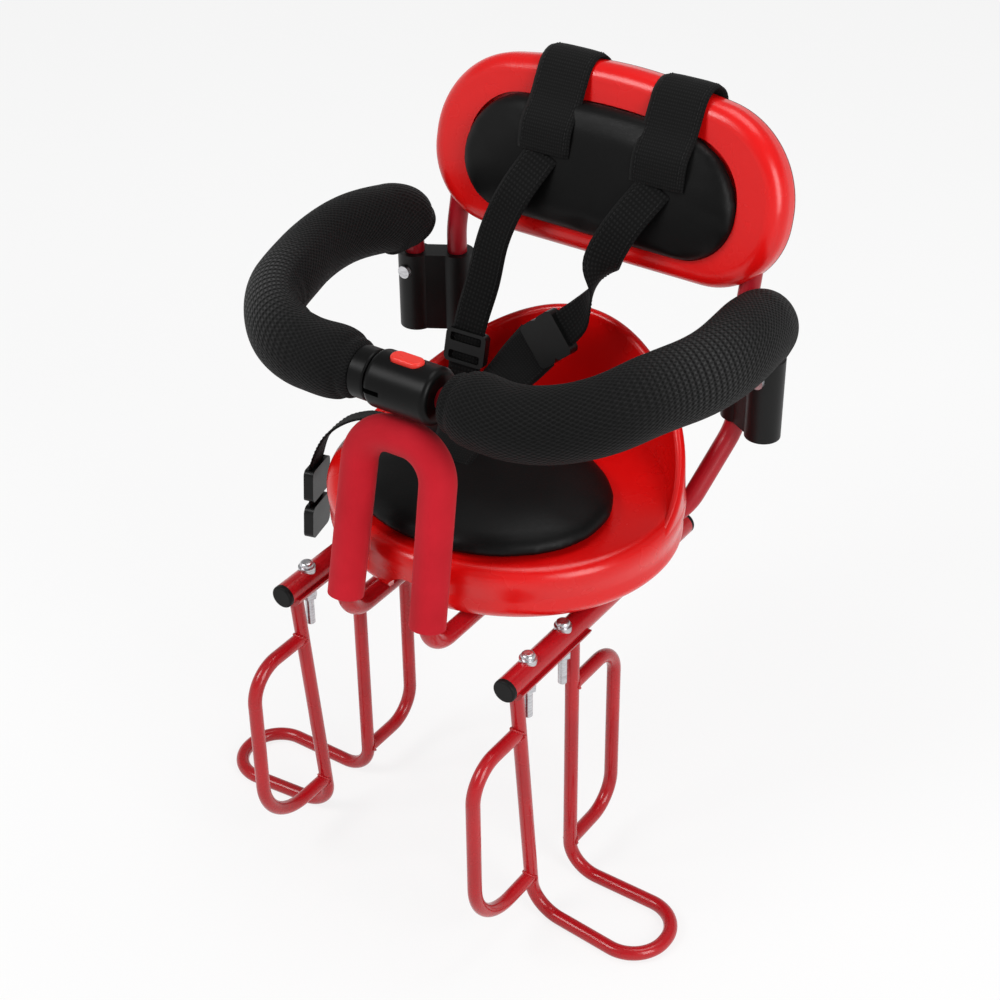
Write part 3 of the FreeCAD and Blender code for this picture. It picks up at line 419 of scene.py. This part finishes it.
# %% Arm sleeves
ARM_Z, FRONT_Y = 192.0, -20.0
CORNER_X, SIDE_X, SIDE_Y, HINGE = 117.0, 154.0, 95.0, (140.0, 179.0)
BENDS = [66.0, 150.0, 26.0]
START = {"left": 31.0, "right": 33.5}
HALF_T = [17.5, 22.5, 22.5, 21.0, 19.5, 19.5, 20.5, 21.0, 21.0, 20.8, 19.5, 15.5]
HALF_H = [17.5, 22.5, 23.0, 23.5, 24.0, 24.5, 25.0, 26.0, 25.5, 23.8, 20.5, 15.5]
LEAN = [0, 0, 0, 5, 10, 16, 20, 18, 12, 6, 0, 0]
LIFT = [0, 0, 0, 2.0, 5.0, 8.0, 7.5, 1.5, -0.5, -0.5, 0, 0]
# Where the painted highlight on each sleeve sits along the bend, how wide it is and how strong.
HIGHLIGHT_SPOT = {"left": (0.72, 0.42, 1.0), "right": (1.6, 0.5, 0.45)}
UP = np.array([0.0, 0.0, 1.0])


def runs(points, radii):
    """The straight runs and arcs of a bent tube: start, way, side way, radius and length of each."""
    made = []
    last = points[0]
    for i, radius in enumerate(radii):
        before = unit(points[i + 1] - points[i])
        after = unit(points[i + 2] - points[i + 1])
        turn = math.acos(before @ after)
        first = points[i + 1] - before * radius * math.tan(turn / 2)
        made.append((last, before, None, 0.0, np.linalg.norm(first - last)))
        made.append((first, before, unit(after - before * (before @ after)), radius, radius * turn))
        last = points[i + 1] + after * radius * math.tan(turn / 2)
    made.append((last, after, None, 0.0, np.linalg.norm(points[-1] - last)))
    return made


def walk(made, d):
    """The point and the way at a distance along the runs."""
    for first, way, aside, radius, length in made:
        if d <= length:
            break
        d -= length
    if aside is None:
        return first + way * d, way
    a = d / radius
    spot = first + way * radius * math.sin(a) + aside * radius * (1 - math.cos(a))
    return spot, way * math.cos(a) + aside * math.sin(a)


def sleeve(side, s):
    plan = [(START[side], FRONT_Y), (CORNER_X, FRONT_Y), (SIDE_X, SIDE_Y), HINGE]
    points = [np.array([s * x, y, ARM_Z]) for x, y in plan]
    points.append(points[-1] - UP * 60.0)
    made = runs(points, BENDS)
    lengths = [run[4] for run in made]
    front, bend = lengths[:2]
    flank = sum(lengths[2:5])
    marks = [0, 15.5] + [front + bend * v for v in (0, 0.33, 0.67, 1)]
    marks += [front + bend + flank * v for v in (0.45, 1)]
    marks += [front + bend + flank + lengths[5] * v for v in (0.22, 0.45, 0.66, 0.78)]
    rings = []
    painted_highlight = []
    middle, spread, most = HIGHLIGHT_SPOT[side]
    turns = np.linspace(0, 2 * math.pi, 72, endpoint=False)
    inner = np.clip(-np.cos(turns), 0, 1)
    outer = np.clip(np.cos(turns - 0.45), 0, 1) ** 0.8
    for d in np.linspace(0, marks[-1], 190):
        here = [float(ease(np.array([d]), marks, v)[0]) for v in (HALF_T, HALF_H, LEAN, LIFT)]
        half_t, half_h, lean, lift = here
        centre, way = walk(made, d)
        out = unit(np.cross((way[0], way[1], 0), UP)) * s
        tall = s * np.cross(out, way)
        centre = centre + tall * lift
        end = min(d, marks[-1] - d)
        tuck = 1 - 0.07 * math.exp(-((end - 8.0) / 2.2) ** 2) - 0.16 * math.exp(-end / 1.8)
        c, n = math.cos(math.radians(lean)), math.sin(math.radians(lean))
        share = (d - front) / bend
        fold = math.sin(math.pi * share) if 0 < share < 1 else 0.0
        crease = 2.4 * fold * inner**1.5 * (0.5 + 0.5 * math.cos(share * 2 * math.pi * 4.5))
        crease = crease + 5.0 * inner**2 * math.exp(-(((share - 0.52) * bend) / 5.0) ** 2)
        wave = 0.5 * np.sin(d / 17.0 + 2.0 * np.sin(turns)) * min(1, end / 25)
        p = (half_t * tuck - crease + wave) * np.cos(turns)
        q = (half_h * tuck + wave) * np.sin(turns)
        rings.append(centre + np.outer(p * c - q * n, out) + np.outer(p * n + q * c, tall))
        # Painted highlight on the upper outer side of the bend, where the light falls; strongest on the left
        # sleeve.
        painted_highlight.append(outer * most * math.exp(-(((share - middle) / spread) ** 2)))
    piece = loft(side + "_sleeve", rings)
    highlight_share = piece.data.attributes.new("painted_highlight", "FLOAT", "POINT")
    highlight_share.data.foreach_set("value", np.ravel(painted_highlight))
    return finish_piece(piece, side + "_arm", "sleeve_mesh", sleeve_cloth, side + "_arm_sleeve")


for side, s in (("left", -1), ("right", 1)):
    sleeve(side, s)

# %% [markdown]
# The two cushions are foam under vinyl. A plain dome would look machined, and sculpting is hard to repeat,
# so each is left to a simulation: it starts as a low dome a little smaller than its solid. It is
# remeshed, blown up by cloth pressure with its foot held, smoothed and subdivided once, so the cover
# looks drawn over foam and not machined.


# %% Cushions
def inflate(obj, voxel_mm, pressure, cap_mm, passes, held):
    """Remeshes obj, swells it under cloth pressure and keeps each point within cap_mm of its start."""
    remesh = obj.modifiers.new("remesh", "REMESH")
    remesh.mode = "VOXEL"
    remesh.voxel_size = voxel_mm * 0.001
    graph = bpy.context.evaluated_depsgraph_get()
    obj.data = bpy.data.meshes.new_from_object(obj.evaluated_get(graph))
    obj.modifiers.clear()
    rest = np.array([v.co for v in obj.data.vertices])
    group = obj.vertex_groups.new(name="held")
    group.add([int(i) for i in np.nonzero(held(rest * 1000))[0]], 1.0, "REPLACE")
    cloth = obj.modifiers.new("cloth", "CLOTH")
    cloth.settings.vertex_group_mass = "held"
    cloth.settings.use_pressure = True
    cloth.settings.uniform_pressure_force = pressure
    cloth.settings.effector_weights.gravity = 0
    cloth.collision_settings.use_collision = False
    for number in range(1, 21):
        bpy.context.scene.frame_set(number)
    graph = bpy.context.evaluated_depsgraph_get()
    swollen = obj.evaluated_get(graph).to_mesh()
    moved = np.array([v.co for v in swollen.vertices]) - rest
    obj.modifiers.clear()
    length = np.linalg.norm(moved, axis=1, keepdims=True)
    moved *= np.minimum(1, cap_mm * 0.001 / np.maximum(length, 1e-9))
    obj.data.vertices.foreach_set("co", (rest + moved).ravel())
    bpy.context.scene.frame_set(1)
    smooth = obj.modifiers.new("smooth", "SMOOTH")
    smooth.iterations = passes
    finer = obj.modifiers.new("finer", "SUBSURF")
    finer.levels = finer.render_levels = 1
    graph = bpy.context.evaluated_depsgraph_get()
    obj.data = bpy.data.meshes.new_from_object(obj.evaluated_get(graph))
    obj.modifiers.clear()
    obj.vertex_groups.clear()
    obj.data.polygons.foreach_set("use_smooth", [True] * len(obj.data.polygons))


turns = np.linspace(0, 2 * math.pi, 96, endpoint=False)
DECK_Z, SEAT_Y = 73.0, 57.0
SEAT_PROFILE = [  # half width, half depth and height over the deck
    (90, 72, 0.4), (94, 76, 3), (95, 77, 7), (93, 75, 11),
    (87, 69, 14.4), (74, 58, 17), (50, 40, 18.8), (18, 15, 19.6),
]
rings = []
for a, b, z in SEAT_PROFILE:
    rings.append(np.stack([a * np.cos(turns), SEAT_Y + b * np.sin(turns), 0 * turns + DECK_Z + z], 1))
seat_pad = loft("seat_pad", rings)
inflate(seat_pad, 3.4, 4.0, 2.5, 45, lambda p: p[:, 2] < DECK_Z + 2.0)
finish_piece(seat_pad, "frame", "cushion_cover", vinyl, "seat_cushion")

# %% [markdown]
# The backrest leans back, so its cushion is drawn in a tilted frame: across, up along the back, and from
# front to rear. The outline is a low arch with wide round corners, the same line that the pocket in the
# shell has, and the same inflation gives it its swell.

# %% Backrest cushion
TILT = math.radians(14.0)
BACK_UP = np.array([0.0, math.sin(TILT), math.cos(TILT)])
BACK_REAR = np.array([0.0, math.cos(TILT), -math.sin(TILT)])
BACK_FOOT = np.array([0.0, 181.0, 193.0])
RIDGE_HALF, RIDGE_SOFT = 37.0, 640.0


def on_back(x, y, z):
    return BACK_FOOT + np.array([1.0, 0, 0]) * x + BACK_UP * y + BACK_REAR * z


def arch(half_w, low, high, low_r, high_r, crown, count=26):
    """A closed outline with round corners and a low, rounded roof, anticlockwise from the lower left."""
    line = []
    for cx, cy, r, first in (
        (-half_w + low_r, low + low_r, low_r, 180),
        (half_w - low_r, low + low_r, low_r, 270),
        (half_w - high_r, high - high_r, high_r, 0),
        (-half_w + high_r, high - high_r, high_r, 90),
    ):
        for a in np.radians(np.linspace(first, first + 90, count)):
            line.append((cx + r * math.cos(a), cy + r * math.sin(a)))
        if first == 0:
            line += [(x, high) for x in np.linspace(cx, -cx, count)[1:-1]]
    line = np.array(line)
    aside = np.abs(line[:, 0])
    soft = np.clip(RIDGE_HALF - aside, 0, None) ** 2 / RIDGE_SOFT
    line[:, 1] += (crown * (1 - aside / half_w) - soft) * np.clip((line[:, 1] - low) / (high - low), 0, 1)
    return line


pad_line = arch(102.6, 15.4, 90.6, 34.5, 40.5, 12.0)
middle = np.array([0.0, 56.0])
BACK_PROFILE = [  # share of the outline and depth
    (1.0, 4.5), (1.012, 0.0), (1.01, -3.5), (0.98, -7.2),
    (0.93, -9.4), (0.84, -10.6), (0.6, -11.3), (0.25, -11.6),
]
rings = []
for size, depth in BACK_PROFILE:
    flat = middle + (pad_line - middle) * size
    rings.append(np.array([on_back(x, y, depth) for x, y in flat]))
back_pad = loft("backrest_pad", rings[::-1])
inflate(back_pad, 3.4, 4.0, 2.0, 8, lambda p: (p - BACK_FOOT) @ BACK_REAR > 2.5)
finish_piece(back_pad, "frame", "cushion_cover", vinyl, "backrest_cushion")

# %% [markdown]
# Straps are flat bands swept through stations, each with the way its upper face looks. The edges are
# rounded, and a slow ripple keeps them from looking stamped. Cloth would have to be pinned at every buckle
# to lie like this, so the stations are listed one by one. The right shoulder strap turns edge-on half way
# down.


# %% Bands
def band(name, stations, width, thick, step=3.0, ripple=0.5):
    """A strap through (point, outward way) stations; also returns a maker of rows on its face."""
    spots = np.array([p for p, _ in stations], float)
    ways = np.array([unit(w) for _, w in stations])
    marks = np.concatenate([[0], np.cumsum(np.linalg.norm(np.diff(spots, axis=0), axis=1))])
    d = np.linspace(0, marks[-1], max(8, int(marks[-1] / step)))
    line = ease(d, marks, spots)
    out = ease(d, marks, ways)
    way = np.gradient(line, axis=0)
    way /= np.linalg.norm(way, axis=1, keepdims=True)
    across = np.cross(out, way)
    across /= np.linalg.norm(across, axis=1, keepdims=True)
    out = np.cross(way, across)
    half = np.full(len(d), width / 2)
    lanes = np.linspace(-1, 1, 13)
    rise = thick / 2 * (1 - np.abs(lanes) ** 3.5) ** 0.6
    u = np.concatenate([lanes, lanes[::-1][1:-1]])
    w = np.concatenate([rise, -rise[::-1][1:-1]]) + thick / 2
    sway = ripple * np.sin(d / 23.0) * np.sin(math.pi * d / d[-1])
    rings = []
    for i in range(len(d)):
        cup = ripple * 0.6 * u * u * math.sin(d[i] / 31.0)
        rings.append(line[i] + np.outer(u * half[i], across[i]) + np.outer(w + sway[i] + cup, out[i]))

    def rows(inset):
        """Two lines on the upper face, inset from either edge."""
        lane = 1 - inset / half
        cup = ripple * 0.6 * lane * lane * np.sin(d / 31.0)
        high = thick / 2 * (1 + (1 - lane**3.5) ** 0.6) + sway + cup + 0.05
        return [(line + across * (lane * half * s)[:, None] + out * high[:, None])[2:-2] for s in (-1, 1)]

    return loft(name, rings), rows, float(np.linalg.norm(np.diff(line, axis=0), axis=1).sum())


def back_way(y, z):
    return BACK_UP * y + BACK_REAR * z


BACK_TOP, BACK_ROOF, BACK_ROOF_HALF = 120.0, 10.0, 67.0
pad_rows = []
pad_ends = {}
for side, x in (("left", -35.0), ("right", 51.0)):
    crest = BACK_TOP + BACK_ROOF * (1 - abs(x) / BACK_ROOF_HALF) - 1.5
    over = [
        (on_back(x, crest - 56, 28.4), back_way(0, 1)),
        (on_back(x, crest - 13, 28.4), back_way(0, 1)),
        (on_back(x, crest - 2.5, 25), back_way(0.7, 0.7)),
        (on_back(x, crest + 2.7, 17), back_way(1, 0.15)),
        (on_back(x, crest + 2.7, 11), back_way(1, -0.15)),
        (on_back(x, crest - 2.5, 3), back_way(0.7, -0.7)),
        (on_back(x, crest - 13, -1.0), back_way(0.1, -1)),
        (on_back(x, crest - 27, -5), back_way(0.5, -1)),
        (on_back(x, crest - 42, -12.6), back_way(0.3, -1)),
        (on_back(x, crest - 60, -12.2), back_way(0, -1)),
    ]
    pad, rows, _ = band(side + "_pad", over, 40.0, 4.0, ripple=0.2)
    finish_piece(pad, "frame", "pad_cloth", pad_cloth, side + "_shoulder_pad")
    pad_rows += rows(4.0)
    pad_ends[side] = on_back(x, crest - 60, -12.4)

# %% [markdown]
# The webbing below the pads, the padded crotch strap and the lap strap that hangs on the left. Each station
# is a point and the way that the strap's upper face looks there. The length of each webbing is printed.

# %% Straps
DECK = (0, 0, 1)
left_run = [
    (pad_ends["left"], back_way(0, -1)),
    ((-48, 166, 228), (0, -1, 0.25)),
    ((-59, 162, 200), (0, -1, 0.1)),
    ((-66, 157, 166), (0.15, -1, 0.1)),
    ((-71.5, 148.5, 133), (0.1, -1, 0.1)),
    ((-72, 142, 104), (0.1, -1, 0.1)),
    ((-71, 137, 84), (0.1, -0.8, 0.6)),
    ((-70, 131, 73.3), DECK),
    ((-70, 119.5, 73.3), DECK),
]
right_run = [
    (pad_ends["right"], back_way(0, -1)),
    ((36, 166, 228), (0.1, -1, 0.25)),
    ((26, 162, 207), (0.4, -0.9, 0.1)),
    ((20, 159.5, 184), (0.85, 0.3, -0.2)),
    ((11, 157, 163), (0.45, 0.85, -0.2)),
    ((-3, 155, 146), (0, 1, -0.1)),
]
crotch_run = [
    ((-20, 157, 131), (0, -1, 0.2)),
    ((-33, 153, 113), (0, -1, 0.5)),
    ((-40, 143, 101), (0, -0.6, 1)),
    ((-43, 128, 95), (0, -0.15, 1)),
    ((-42, 108, 92.5), (0, 0, 1)),
    ((-28, 72, 93.2), (0, 0, 1)),
    ((-24, 58, 93.2), (0, -0.1, 1)),
    ((-22.5, 49, 90.5), (0, -0.7, 0.7)),
    ((-22, 45.5, 83.3), (0, -1, 0)),
    ((-22, 45.5, 75), (0, -1, 0)),
]
lap_run = [
    ((-91, 110, 73.3), DECK),
    ((-93.5, 97, 73.3), DECK),
    ((-102, 80, 84), (-0.2, 0, 1)),
    ((-113, 63, 86), (-0.6, 0, 1)),
    ((-122, 52, 78), (-1, -0.3, 0.5)),
    ((-127.5, 45, 61), (-1, -0.3, 0)),
    ((-127.5, 41, 17), (-1, -0.3, 0)),
]
strap_rows = []
for name, run, width, thick, cloth, slot, node in (
    ("left_webbing", left_run, 25.0, 2.0, webbing, "webbing", "left_shoulder_strap"),
    ("right_webbing", right_run, 25.0, 2.0, webbing, "webbing", "right_shoulder_strap"),
    ("crotch_pad", crotch_run, 36.0, 4.0, pad_cloth, "pad_cloth", "crotch_strap"),
    ("lap_webbing", lap_run, 25.0, 2.0, webbing, "webbing", "lap_strap"),
):
    piece, rows, length = band(name, run, width, thick)
    finish_piece(piece, "frame", slot, cloth, node)
    strap_rows += rows(3.0)
    if slot == "webbing":
        print("webbing length", round(length), "mm")

# %% [markdown]
# Stitches and weld beads are the same small thing many times over, so a geometry-nodes group places
# them: it walks a line at an even pitch and sets a bead that points along it.


# %% A node group that strings beads on a line
def bead_group():
    group = bpy.data.node_groups.new("beads_on_a_line", "GeometryNodeTree")
    face = group.interface
    face.new_socket("Geometry", in_out="INPUT", socket_type="NodeSocketGeometry")
    for name, value in (("Pitch", 0.003), ("Length", 0.002), ("Radius", 0.0004), ("Wander", 0.0)):
        face.new_socket(name, in_out="INPUT", socket_type="NodeSocketFloat").default_value = value
    face.new_socket("Material", in_out="INPUT", socket_type="NodeSocketMaterial")
    face.new_socket("Geometry", in_out="OUTPUT", socket_type="NodeSocketGeometry")
    make = group.nodes.new
    link = group.links.new
    given = make("NodeGroupInput")
    done = make("NodeGroupOutput")
    curve = make("GeometryNodeMeshToCurve")
    even = make("GeometryNodeResampleCurve")
    even.mode = "LENGTH"
    spots = make("GeometryNodeCurveToPoints")
    spots.mode = "EVALUATED"
    ball = make("GeometryNodeMeshIcoSphere")
    ball.inputs["Subdivisions"].default_value = 2
    ball.inputs["Radius"].default_value = 1.0
    size = make("ShaderNodeCombineXYZ")
    half = make("ShaderNodeMath")
    half.operation = "MULTIPLY"
    half.inputs[1].default_value = 0.5
    vary = make("FunctionNodeRandomValue")
    vary.data_type = "FLOAT_VECTOR"
    vary.inputs["Seed"].default_value = 4
    low = make("ShaderNodeMath")
    low.operation = "SUBTRACT"
    low.inputs[0].default_value = 1.0
    high = make("ShaderNodeMath")
    high.operation = "ADD"
    high.inputs[0].default_value = 1.0
    scaled = make("ShaderNodeVectorMath")
    scaled.operation = "MULTIPLY"
    beads = make("GeometryNodeInstanceOnPoints")
    real = make("GeometryNodeRealizeInstances")
    smooth = make("GeometryNodeSetShadeSmooth")
    paint = make("GeometryNodeSetMaterial")
    link(given.outputs["Geometry"], curve.inputs["Mesh"])
    link(curve.outputs["Curve"], even.inputs["Curve"])
    link(given.outputs["Pitch"], even.inputs["Length"])
    link(even.outputs["Curve"], spots.inputs["Curve"])
    link(given.outputs["Length"], half.inputs[0])
    link(half.outputs[0], size.inputs["Z"])
    link(given.outputs["Radius"], size.inputs["X"])
    link(given.outputs["Radius"], size.inputs["Y"])
    link(given.outputs["Wander"], low.inputs[1])
    link(given.outputs["Wander"], high.inputs[1])
    link(low.outputs[0], vary.inputs["Min"])
    link(high.outputs[0], vary.inputs["Max"])
    link(size.outputs[0], scaled.inputs[0])
    link(vary.outputs["Value"], scaled.inputs[1])
    link(spots.outputs["Points"], beads.inputs["Points"])
    link(ball.outputs["Mesh"], beads.inputs["Instance"])
    link(spots.outputs["Rotation"], beads.inputs["Rotation"])
    link(scaled.outputs[0], beads.inputs["Scale"])
    link(beads.outputs["Instances"], real.inputs["Geometry"])
    link(real.outputs["Geometry"], smooth.inputs["Geometry"])
    link(smooth.outputs["Geometry"], paint.inputs["Geometry"])
    link(given.outputs["Material"], paint.inputs["Material"])
    link(paint.outputs["Geometry"], done.inputs["Geometry"])
    return group


BEADS = bead_group()
print("bead group", len(BEADS.nodes), "nodes")


def beads(name, polylines, body, slot, mat, pitch, length, radius, wander=0.0):
    """Beads along every polyline, as one plain mesh."""
    points = []
    edges = []
    for line in polylines:
        first = len(points)
        points += [tuple(p) for p in np.asarray(line) * 0.001]
        edges += [(i, i + 1) for i in range(first, len(points) - 1)]
    mesh = bpy.data.meshes.new(name)
    mesh.from_pydata(points, edges, [])
    obj = bpy.data.objects.new(name, mesh)
    bpy.context.collection.objects.link(obj)
    strung = obj.modifiers.new("beads", "NODES")
    strung.node_group = BEADS
    values = {"Pitch": pitch, "Length": length, "Radius": radius}
    for item in BEADS.interface.items_tree:
        if item.in_out == "INPUT" and item.name in values:
            strung[item.identifier] = values[item.name] * 0.001
        if item.in_out == "INPUT" and item.name == "Wander":
            strung[item.identifier] = float(wander)
        if item.in_out == "INPUT" and item.name == "Material":
            strung[item.identifier] = mat
    graph = bpy.context.evaluated_depsgraph_get()
    obj.data = bpy.data.meshes.new_from_object(obj.evaluated_get(graph))
    obj.modifiers.clear()
    return finish_piece(obj, body, slot, mat)


# %% [markdown]
# The spring under the lock's button is a wire coil. A solid can't shorten, so the coil is drawn again as
# a mesh, a ring of points swept up a helix.

# %% Button spring
COIL_FOOT, COIL_R, COIL_WIRE, COIL_RISE, COIL_TURNS = np.array([3.0, -20.0, 197.0]), 3.4, 0.45, 11.4, 5
turns = np.linspace(0, 2 * math.pi, 10, endpoint=False)
rings = []
for a in np.linspace(0, 2 * math.pi * COIL_TURNS, 36 * COIL_TURNS + 1):
    out = np.array([math.cos(a), math.sin(a), 0.0])
    middle = COIL_FOOT + out * COIL_R + UP * COIL_RISE * a / (2 * math.pi * COIL_TURNS)
    rings.append([middle + COIL_WIRE * (out * math.cos(t) - UP * math.sin(t)) for t in turns])
coil = finish_piece(loft("button_coil", rings), "right_arm", "zinc", zinc, "button_spring")
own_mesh(coil)

# %% [markdown]
# Two rows of lockstitch run down each pad and strap, a few millimetres in from the edge.

# %% Stitches
beads("pad_stitches", pad_rows, "frame", "pad_cloth", thread, 3.2, 2.2, 0.35)
beads("strap_stitches", strap_rows, "frame", "webbing", thread, 3.0, 2.0, 0.3)

# %% [markdown]
# The backrest is two mouldings, and their joint shows as a fine dark line round its edge. The line runs
# along the outer edge of the rear shell's joint face, which is read from the solid itself.

# %% Backrest seam
SPLIT, SEAM_R = 20.0, 0.3
spots = np.array([v.co for v in nodes["backrest_rear_shell"].data.vertices]) * 1000 - BACK_FOOT
flat = np.stack([spots[:, 0], spots @ BACK_UP], 1)[np.abs(spots @ BACK_REAR - SPLIT) < 0.05]
edge = flat[convex_hull_2d([Vector(p) for p in flat])]
edge = np.concatenate([edge, edge[:1]])
turns = np.linspace(0, 2 * math.pi, 8, endpoint=False)
way = np.roll(edge[:-1], -1, 0) - np.roll(edge[:-1], 1, 0)
aside = np.stack([way[:, 1], -way[:, 0]], 1) / np.linalg.norm(way, axis=1)[:, None]
aside = np.concatenate([aside, aside[:1]])
ring = [(SEAM_R * math.cos(t), SEAM_R * math.sin(t)) for t in turns]
rings = []
for (x, y), (ax, ay) in zip(edge, aside):
    rings.append([on_back(x + c * ax, y + c * ay, SPLIT + rise) for c, rise in ring])
seam_dark = moulded("seam_shadow", (0.07, 0.001, 0.001), (0.10, 0.001, 0.001), 0.6, 900, 0.06, 0.1)
finish_piece(loft("backrest_seam", rings, caps=False), "frame", "red_moulding", seam_dark)

# %% [markdown]
# The guards are welded to the legs, and the legs to the strips under the rails. A weld is a row of
# overlapping puddles round the end of the rod, painted over with the rest of the frame.

# %% Weld beads
LEG_R = 4.75
LEG_TOP, LEG_FOOT = (-34.0, 5.0), (-14.0, -192.0)


def front_leg_y(z):
    return LEG_TOP[0] + (LEG_FOOT[0] - LEG_TOP[0]) * (LEG_TOP[1] - z) / (LEG_TOP[1] - LEG_FOOT[1])


def weld_ring(x, y, z, sign):
    """A ring round a guard rod where it lands on the leg: it wraps the leg's round face."""
    a = np.linspace(0, 2 * math.pi, 33)
    across = (LEG_R + 0.2) * np.cos(a)
    up = (LEG_R + 0.2) * np.sin(a)
    sink = np.sqrt(np.maximum(LEG_R**2 - across**2, 0))
    return np.stack([x + across, y + sign * (sink + 0.5), z + up], 1)


welds = []
for s in (-1, 1):
    for z in (-28.0, -163.0):
        welds.append(weld_ring(s * 88, front_leg_y(z), z, -1))
    for z in (-32.0, -170.0):
        welds.append(weld_ring(s * 88, 32.0, z, 1))
beads("weld_beads", welds, "frame", "frame_paint", frame_paint, 1.3, 2.6, 1.0, 0.25)

# %% [markdown]
# A plain pale floor lies under the footrests, and a pale round backdrop stands far behind. Both light the
# object softly. For the rays that show them, from the camera or in a reflection, they are nearly white.

# %% Floor and backdrop
ROOM_LIGHT = 0.32
low = cad_box[0][2]


def background_rays(mat):
    """1 for rays that show the background: from the camera, in gloss and through glass."""
    seen = add(mat, "ShaderNodeLightPath")
    rays = math_node(mat, "ADD", seen.outputs["Is Camera Ray"], seen.outputs["Is Glossy Ray"])
    rays = math_node(mat, "ADD", rays, seen.outputs["Is Transmission Ray"])
    return math_node(mat, "MINIMUM", rays, 1.0)


bpy.ops.mesh.primitive_plane_add(size=30, location=(0, 0, low - 0.0004))
floor = bpy.context.object
floor.name = "floor"
pale = material("pale_floor", grey(0.86), 0.9)
glow = add(pale, "ShaderNodeEmission")
mix = add(pale, "ShaderNodeMixShader")
join(pale, math_node(pale, "MULTIPLY", background_rays(pale), 0.82), mix.inputs[0])
join(pale, pale.node_tree.nodes["Principled BSDF"].outputs[0], mix.inputs[1])
join(pale, glow.outputs[0], mix.inputs[2])
join(pale, mix.outputs[0], pale.node_tree.nodes["Material Output"].inputs["Surface"])
floor.data.materials.append(pale)

bpy.ops.mesh.primitive_cylinder_add(
    vertices=96, radius=12, depth=4, end_fill_type="NOTHING", location=(0, 0, low + 1.999)
)
wall = bpy.context.object
wall.name = "backdrop"
paper = material("pale_backdrop", grey(0.86), 0.9)
glow = add(paper, "ShaderNodeEmission")
shown = math_node(paper, "MULTIPLY", background_rays(paper), 0.55)
join(paper, math_node(paper, "ADD", shown, ROOM_LIGHT), glow.inputs["Strength"])
join(paper, glow.outputs[0], paper.node_tree.nodes["Material Output"].inputs["Surface"])
wall.data.materials.append(paper)
print("floor and backdrop set")

# %% [markdown]
# Three soft lamps in an evenly lit room. The first stands at the front left and draws the long highlights
# on the rim and the backrest, the second fills the right side, and the third lifts the top edges.

# %% Light
world = bpy.data.worlds.new("studio")
bpy.context.scene.world = world
world.use_nodes = True
world.node_tree.nodes["Background"].inputs["Color"].default_value = (1, 1, 1, 1)
world.node_tree.nodes["Background"].inputs["Strength"].default_value = ROOM_LIGHT


def lamp(name, spot, aim, size, power):
    light = bpy.data.lights.new(name, "AREA")
    light.shape = "RECTANGLE"
    light.size, light.size_y = size
    light.energy = power
    obj = bpy.data.objects.new(name, light)
    obj.location = spot
    obj.rotation_euler = (Vector(aim) - Vector(spot)).to_track_quat("-Z", "Y").to_euler()
    bpy.context.collection.objects.link(obj)


lamp("key", (-0.9, -1.3, 1.7), (0, 0.05, 0.05), (0.9, 0.9), 24)
lamp("side", (1.7, -0.5, 0.9), (0, 0.05, 0.05), (0.8, 1.2), 22)
lamp("top", (0.2, 0.6, 2.0), (0, 0.1, 0.1), (1.2, 0.9), 13)
print("lamps set")

# %% [markdown]
# The camera looks from where the photograph was taken. Its three angles, its place and its lens were fitted
# to points of the object whose sizes are known, such as the ends of the rails and the footrests.

# %% Camera
azimuth, elevation, roll = (math.radians(v) for v in (34.6513, 33.7524, -0.6352))
flat = math.cos(elevation)
right = Vector((math.cos(azimuth), math.sin(azimuth), 0))
back = Vector((math.sin(azimuth) * flat, -math.cos(azimuth) * flat, math.sin(elevation)))
up = back.cross(right)
x_axis = math.cos(roll) * right + math.sin(roll) * up
y_axis = -math.sin(roll) * right + math.cos(roll) * up
eye = bpy.data.cameras.new("photo_camera")
eye.sensor_width = 36
eye.lens = 71.695
camera = bpy.data.objects.new("photo_camera", eye)
camera.matrix_world = Matrix((x_axis, y_axis, back)).transposed().to_4x4()
camera.location = (0.6281, -0.8301, 0.7931)
bpy.context.collection.objects.link(camera)
bpy.context.scene.camera = camera
bpy.context.scene.view_settings.view_transform = "Standard"
print("camera set")
